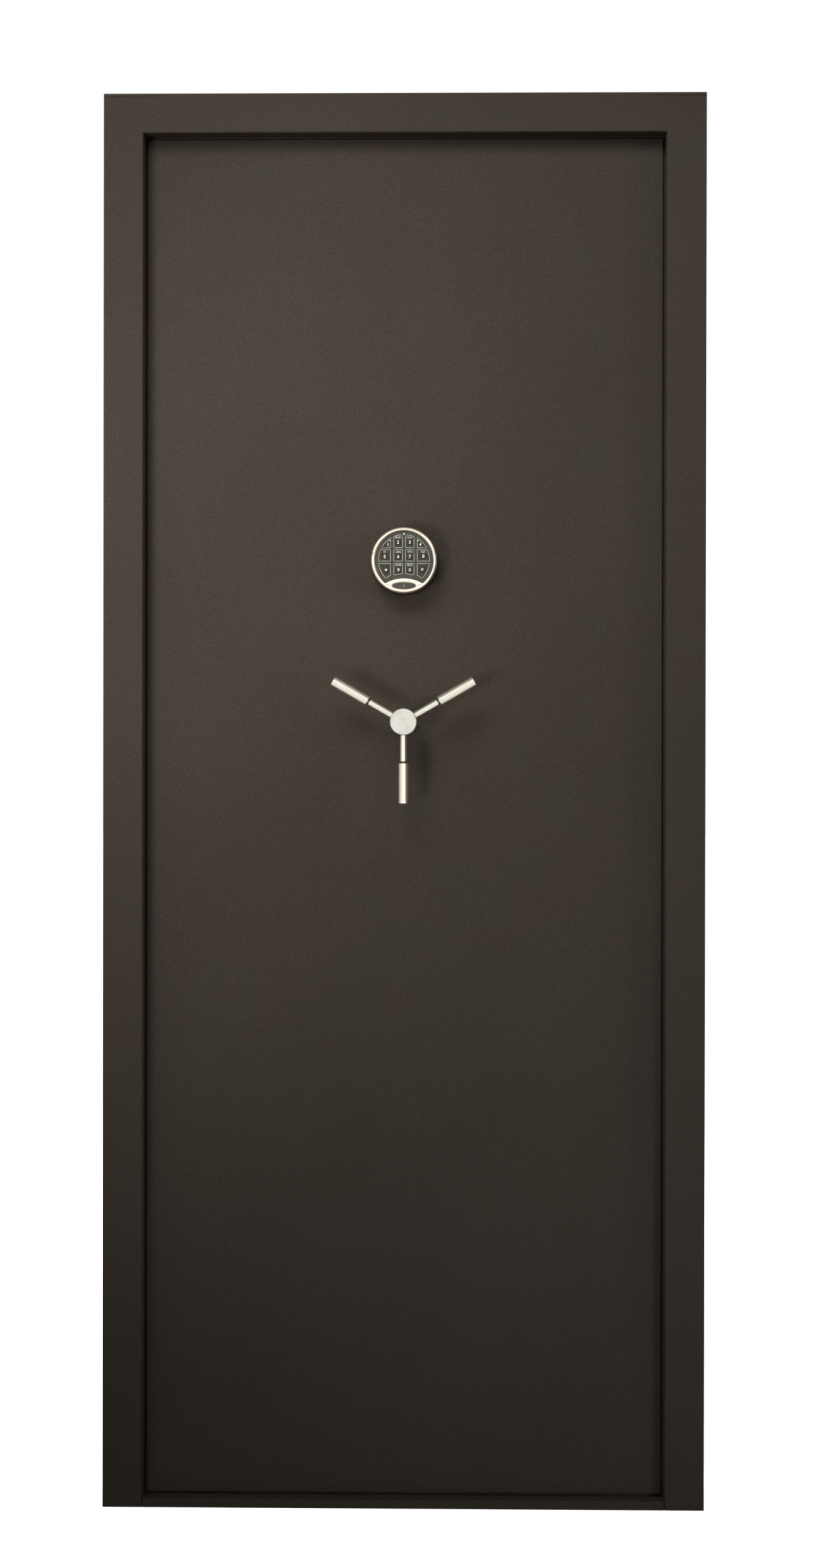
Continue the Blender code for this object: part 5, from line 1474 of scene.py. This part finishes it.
# ---------------------------------------------------------------- handle
class VAULT_OT_handle(bpy.types.Operator):
    """Build the hub, the spokes with their grips, and the collar"""

    bl_idname = "vault.handle"
    bl_label = "Three-spoke handle"

    def execute(self, context):
        sizes = context.scene.vault_handle
        self.hub(sizes)
        self.collar()
        self.spokes(sizes)
        return {"FINISHED"}

    def hub(self, sizes):
        radius = (HUB_HIGH.x - HUB_LOW.x) / 2
        face, back = PLATE_FRONT - HUB_LOW.y, PLATE_FRONT - HUB_HIGH.y
        neck_radius, thickness, crown = 0.0125, 0.026, 0.0004
        r = sizes.hub_rounding
        profile = [(0, back), (neck_radius, back), (neck_radius, face - thickness)]
        profile += corner_arc((radius - 0.001, face - thickness + 0.001), 0.001, -90, 0, 4)
        profile += corner_arc((radius - r, face - r - crown), r, 0, 78, 10)
        inner = radius - r
        profile += [(inner * s, face - crown * s * s) for s in (0.92, 0.8, 0.6, 0.4, 0.2)]
        profile.append((0, face))
        bm = bmesh.new()
        lathe(bm, profile, HANDLE_CENTRE, (0, -1, 0), steps=128)
        piece("hub", mesh_of("hub", bm), "handle", finish("satin_nickel"), ["handle_hub"])

    def collar(self):
        radius = (COLLAR_HIGH.x - COLLAR_LOW.x) / 2
        height, foot = PLATE_FRONT - COLLAR_LOW.y, PLATE_FRONT - COLLAR_HIGH.y
        bore = 0.0085
        profile = [(bore, foot), (radius, foot)]
        profile += corner_arc((radius - 0.002, height - 0.002), 0.002, 0, 90, 8)
        profile.append((bore, height))
        bm = bmesh.new()
        lathe(bm, profile, HANDLE_CENTRE, (0, -1, 0))
        piece(
            "collar", mesh_of("collar", bm), "door", finish("polished_nickel"),
            ["handle_collar"],
        )

    def spokes(self, sizes):
        depth = (ROD_LOW.y + ROD_HIGH.y) / 2
        rod = (ROD_HIGH.x - ROD_LOW.x) / 2 + sizes.fullness
        grip = (GRIP_HIGH.x - GRIP_LOW.x) / 2 + sizes.fullness
        start = HANDLE_CENTRE.z - ROD_HIGH.z
        grip_start = HANDLE_CENTRE.z - GRIP_HIGH.z
        grip_end = HANDLE_CENTRE.z - GRIP_LOW.z
        edge = 0.0007
        profile = [(0, start), (rod, start)]
        profile += corner_arc((rod - 0.0004, sizes.neck_start - 0.0004), 0.0004, 0, 90, 4)
        profile += [(sizes.neck, sizes.neck_start), (sizes.neck, grip_start)]
        profile += corner_arc((grip - edge, grip_start + edge), edge, -90, 0, 5)
        profile += corner_arc((grip - edge, grip_end - edge), edge, 0, 90, 5)
        profile.append((0, grip_end))
        bm = bmesh.new()
        lathe(bm, profile, (0, 0, 0), (1, 0, 0), steps=64)
        spoke = mesh_of("spoke", bm)
        values = {
            "Count": sizes.spokes, "First Angle": sizes.first_angle,
            "Centre": (0.0, depth, HANDLE_CENTRE.z), "Material": finish("polished_nickel"),
        }
        tree = spoke_tree()
        mesh = grown_mesh("spokes", spoke, tree, values)
        nodes = [f"{s}_spoke_{part}" for s in ("left", "right", "lower") for part in ("rod", "grip")]
        piece("spokes", mesh, "handle", None, nodes)
        # A black enamel ring fills most of the groove between each rod and its grip: painted shade, a dark band where
        # the groove lies in shadow.
        play, ring = 0.0002, (rod + sizes.neck) / 2
        low_end, high_end = sizes.neck_start + play, grip_start - play
        section = [(sizes.neck - play, low_end), (ring, low_end), (ring, high_end), (sizes.neck - play, high_end)]
        bm = bmesh.new()
        lathe(bm, section, (0, 0, 0), (1, 0, 0), steps=48)
        values["Material"] = finish("enamel")
        mesh = grown_mesh("neck_rings", mesh_of("neck_shade_ring", bm), tree, values)
        piece("neck_rings", mesh, "handle", None)


class VAULT_OT_release_lever(bpy.types.Operator):
    """Build the escape lever on the vault side, with its boss, arm and screw"""

    bl_idname = "vault.release_lever"
    bl_label = "Inside release lever"

    def execute(self, context):
        radius = (LEVER_HIGH.z - LEVER_LOW.z) / 2
        base, top = LEVER_LOW.y, LEVER_HIGH.y
        centre = Vector((0, 0, HANDLE_CENTRE.z))
        profile = [(0, base), (radius - 0.001, base), (radius, base + 0.001), (radius, base + 0.010)]
        profile += corner_arc((radius - 0.004, top - 0.004), 0.004, 0, 90, 8)
        profile += [(0.007, top), (0.0065, top - 0.0012), (0, top - 0.0012)]
        bm = bmesh.new()
        lathe(bm, profile, centre, (0, 1, 0), steps=72)
        arm, reach = 0.008, LEVER_HIGH.x
        shape = [(0, 0.008)]
        for along in (0.008, 0.02, 0.04, 0.07, 0.10):
            shape.append((arm * (0.80 + 0.20 * (along - 0.008) / (reach - 0.008)), along))
        steps = 12
        for k in range(steps + 1):
            angle = math.pi / 2 * k / steps
            shape.append((arm * math.cos(angle), reach - arm + arm * math.sin(angle)))
        shape[-1] = (0, reach)
        depth = top - 0.018
        lathe(bm, shape, Vector((0, depth, HANDLE_CENTRE.z)), (1, 0, 0), steps=48)
        piece(
            "release_lever", mesh_of("release_lever", bm), "handle", finish("enamel"),
            ["inside_release_lever"],
        )
        bm = bmesh.new()
        head = screw_profile(0.0058, 0.0026)
        lathe(bm, head, centre + Vector((0, top - 0.0014, 0)), (0, 1, 0), steps=36)
        screw = cut_by(mesh_of("lever_screw", bm), hex_socket(centre, top + 0.0012, 0.0030, 0.0018))
        screw.materials.clear()
        piece("lever_screw", screw, "handle", finish("screw"))
        return {"FINISHED"}


def screw_profile(radius, height):
    """A domed head over a short shank stub that stays buried."""
    points = [(0, -0.001), (radius * 0.5, -0.001), (radius * 0.5, 0.0), (radius * 0.96, 0.0), (radius, height * 0.18)]
    steps = 7
    for k in range(1, steps):
        angle = math.pi / 2 * k / steps
        points.append((radius * math.cos(angle) ** 0.7, height * (0.18 + 0.82 * math.sin(angle))))
    points.append((0, height))
    return points


def hex_socket(centre, top, radius, depth):
    """A six-sided cutter that reaches down from `top` along Y."""
    bm = bmesh.new()
    rings = []
    for level in (top, top - depth):
        ring = []
        for k in range(6):
            angle = math.pi / 3 * k
            ring.append(centre + Vector((radius * math.cos(angle), level, radius * math.sin(angle))))
        rings.append(ring)
    loft(bm, rings)
    return mesh_of("hex_socket", bm)


# ---------------------------------------------------------------- boltwork
class VAULT_OT_bolts(bpy.types.Operator):
    """Build the eight turned bolts, each with its rounded nose and the groove behind it"""

    bl_idname = "vault.bolts"
    bl_label = "Locking bolts"

    def execute(self, context):
        for body, names in BOLTS.items():
            bm = bmesh.new()
            for name in names:
                self.bolt(bm, name)
            look = "top_bolt" if body == "top_bolts" else "side_bolt"
            piece(f"{body}_turned", mesh_of(body, bm), body, finish(look), names)
        return {"FINISHED"}

    def bolt(self, bm, name):
        low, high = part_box(name)
        size = high - low
        centre = (low + high) / 2
        upright = name.startswith("top")
        axis = Vector((0, 0, 1)) if upright else Vector((math.copysign(1, centre.x), 0, 0))
        length = size.z if upright else size.x
        radius = size.y / 2
        foot = centre - axis * length / 2
        nose = 0.0028
        profile = [(0, 0), (radius - 0.0006, 0), (radius, 0.0006), (radius, length - 0.016)]
        profile += [(radius - 0.0005, length - 0.0157), (radius - 0.0005, length - 0.0147), (radius, length - 0.0144)]
        profile += corner_arc((radius - nose, length - nose), nose, 0, 90, 8)
        profile += [(0.0032, length), (0.0022, length - 0.0012), (0, length - 0.0020)]
        lathe(bm, profile, foot, axis, steps=64)


# ---------------------------------------------------------------- screws and welds
class VAULT_OT_screws(bpy.types.Operator):
    """Put the screws round the rear cover and through the hinges' door straps"""

    bl_idname = "vault.screws"
    bl_label = "Screws"

    def execute(self, context):
        sizes = context.scene.vault_fixings
        tree = screw_tree()
        head = self.head(sizes)
        self.row("cover_screws", self.cover_places(sizes), tree, head, sizes, 1.0)
        self.row("hinge_screws", self.hinge_places(), tree, head, sizes, 1.25)
        bpy.data.objects.remove(head)
        return {"FINISHED"}

    def head(self, sizes):
        """One pan head with a hexagon socket, standing on the origin and facing the vault."""
        bm = bmesh.new()
        lathe(bm, screw_profile(sizes.head, 0.0022), (0, 0, 0), (0, 1, 0), steps=24)
        mesh = cut_by(mesh_of("head", bm), hex_socket(Vector((0, 0, 0)), 0.004, 0.0020, 0.0030))
        mesh.materials.clear()
        made = temporary("screw_head", mesh)
        made.hide_render = True
        return made

    def cover_places(self, sizes):
        """Even rows round the cover that leave out the hinge straps."""
        low, high = COVER_LOW, COVER_HIGH
        inset, back = sizes.inset, COVER_HIGH.y
        left, right, bottom, top = low.x + inset, high.x - inset, low.z + inset, high.z - inset
        across = max(2, round((right - left) / sizes.pitch))
        upward = max(2, round((top - bottom) / sizes.pitch))
        places = []
        for k in range(across + 1):
            x = left + (right - left) * k / across
            places += [Vector((x, back, bottom)), Vector((x, back, top))]
        for k in range(1, upward):
            z = bottom + (top - bottom) * k / upward
            places += [Vector((left, back, z)), Vector((right, back, z))]
        clear = 0.012
        for hinge in HINGES:
            strap_low, strap_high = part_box(f"{hinge}_hinge_door_half")
            places = [
                p for p in places
                if p.x > strap_high.x + clear or not strap_low.z - clear < p.z < strap_high.z + clear
            ]
        return places

    def hinge_places(self):
        """Two staggered pairs through each strap on the leaf."""
        places = []
        for hinge in HINGES:
            low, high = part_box(f"{hinge}_hinge_door_half")
            strap_back = COVER_HIGH.y + TOUCH + 0.005
            middle = (low.z + high.z) / 2
            for x, rise in ((high.x - 0.012, 0.040), (high.x - 0.034, 0.026)):
                places += [Vector((x, strap_back, middle - rise)), Vector((x, strap_back, middle + rise))]
        return places

    def row(self, name, places, tree, head, sizes, scale):
        base = bpy.data.meshes.new(name)
        base.from_pydata(places, [], [])
        values = {"Head": head, "Scale": scale, "Seed": sizes.seed, "Material": finish("screw")}
        piece(name, grown_mesh(name, base, tree, values), "door", None)


class VAULT_OT_welds(bpy.types.Operator):
    """Run the weld beads: hinge straps to the frame, sill to the jambs, and the frame's top corners"""

    bl_idname = "vault.welds"
    bl_label = "Weld beads"

    def execute(self, context):
        sizes = context.scene.vault_fixings
        tree = weld_tree()
        self.run("strap_welds", self.strap_paths(), tree, sizes, sizes.bead)
        self.run("sill_welds", self.sill_paths(), tree, sizes, sizes.bead)
        self.corner_seams()
        return {"FINISHED"}

    def run(self, name, paths, tree, sizes, radius):
        bm = bmesh.new()
        for path in paths:
            verts = [bm.verts.new(p) for p in path]
            for pair in zip(verts, verts[1:]):
                bm.edges.new(pair)
        base = bpy.data.meshes.new(name)
        bm.to_mesh(base)
        bm.free()
        values = {"Radius": radius, "Ripple": sizes.ripple, "Seed": sizes.seed, "Material": finish("powder_coat")}
        piece(name, grown_mesh(name, base, tree, values), "frame", None)

    def strap_paths(self):
        """Along the top and bottom of each strap that is welded to the frame's rear lip."""
        back = FRAME_HIGH.y
        paths = []
        for hinge in HINGES:
            low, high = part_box(f"{hinge}_hinge_frame_half")
            start, end = low.x + 0.001, low.x + 0.014
            for z in (low.z, high.z):
                paths.append([Vector((start, back + 0.0006, z)), Vector((end, back + 0.0006, z))])
        return paths

    def sill_paths(self):
        """Where the sill's ends meet the jambs, on the vault side."""
        low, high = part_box("threshold")
        paths = []
        for x in (low.x, high.x):
            inward = -math.copysign(0.0008, x)
            paths.append([Vector((x + inward, low.y + 0.040, 0.0052)), Vector((x + inward, high.y - 0.004, 0.0052))])
        return paths

    def corner_seams(self):
        """The folded and ground seams at the two top corners of the face: low wavy ridges under the paint."""
        top, front = FRAME_HIGH.z, FRAME_LOW.y
        length, steps = 0.075, 60
        for side, label in ((FRAME_LOW.x, "left"), (FRAME_HIGH.x, "right")):
            inward = -math.copysign(1, side)
            rings = []
            for k in range(steps + 1):
                share = k / steps
                x = side + inward * (0.0008 + length * share)
                fade = math.sin(math.pi * min(1.0, (1.02 - share) * 1.6) / 2) * (1 - share**6)
                wave = math.sin(11 * share + (0.6 if inward > 0 else 2.1)) + 0.5 * math.sin(27 * share)
                drop = 0.0058 + 0.0009 * wave
                rise = max(0.00002, 0.0006 * fade)
                section = ((0.0012, 0.0004), (0.0012, -rise * 0.55), (drop * 0.55, -rise), (drop * 0.86, -rise * 0.8), (drop, 0.0004))
                rings.append([Vector((x, front + depth, top - fall)) for fall, depth in section])
            bm = bmesh.new()
            loft(bm, rings)
            mesh = mesh_of(f"{label}_corner_seam", bm, sharp=60)
            piece(f"{label}_corner_seam", mesh, "frame", finish("powder_coat"))


# ---------------------------------------------------------------- panel and registration
class VAULT_PT_sidebar(bpy.types.Panel):
    """Vault door pieces"""

    bl_idname = "VAULT_PT_sidebar"
    bl_label = "Vault Door"
    bl_space_type = "VIEW_3D"
    bl_region_type = "UI"
    bl_category = "Vault Door"

    def draw(self, context):
        layout = self.layout
        for operator in OPERATORS:
            layout.operator(operator.bl_idname)
        for name, group in GROUPS.items():
            box = layout.box()
            box.label(text=group.__doc__)
            for field in group.__annotations__:
                box.prop(getattr(context.scene, name), field)


GROUPS = {
    "vault_paint": VaultPaint,
    "vault_keypad": VaultKeypad,
    "vault_handle": VaultHandle,
    "vault_fixings": VaultFixings,
    "vault_stage": VaultStage,
}
OPERATORS = (
    VAULT_OT_stage,
    VAULT_OT_node_finishes,
    VAULT_OT_keypad_housing,
    VAULT_OT_badge,
    VAULT_OT_keys,
    VAULT_OT_handle,
    VAULT_OT_release_lever,
    VAULT_OT_bolts,
    VAULT_OT_screws,
    VAULT_OT_welds,
)


def register():
    for made in (*GROUPS.values(), *OPERATORS, VAULT_PT_sidebar):
        bpy.utils.register_class(made)
    for name, group in GROUPS.items():
        setattr(bpy.types.Scene, name, PointerProperty(type=group))


def unregister():
    for name in GROUPS:
        delattr(bpy.types.Scene, name)
    for made in reversed((*GROUPS.values(), *OPERATORS, VAULT_PT_sidebar)):
        bpy.utils.unregister_class(made)


def main():
    register()
    for operator in OPERATORS:
        group, name = operator.bl_idname.split(".")
        getattr(getattr(bpy.ops, group), name)()


if __name__ == "__main__":
    main()
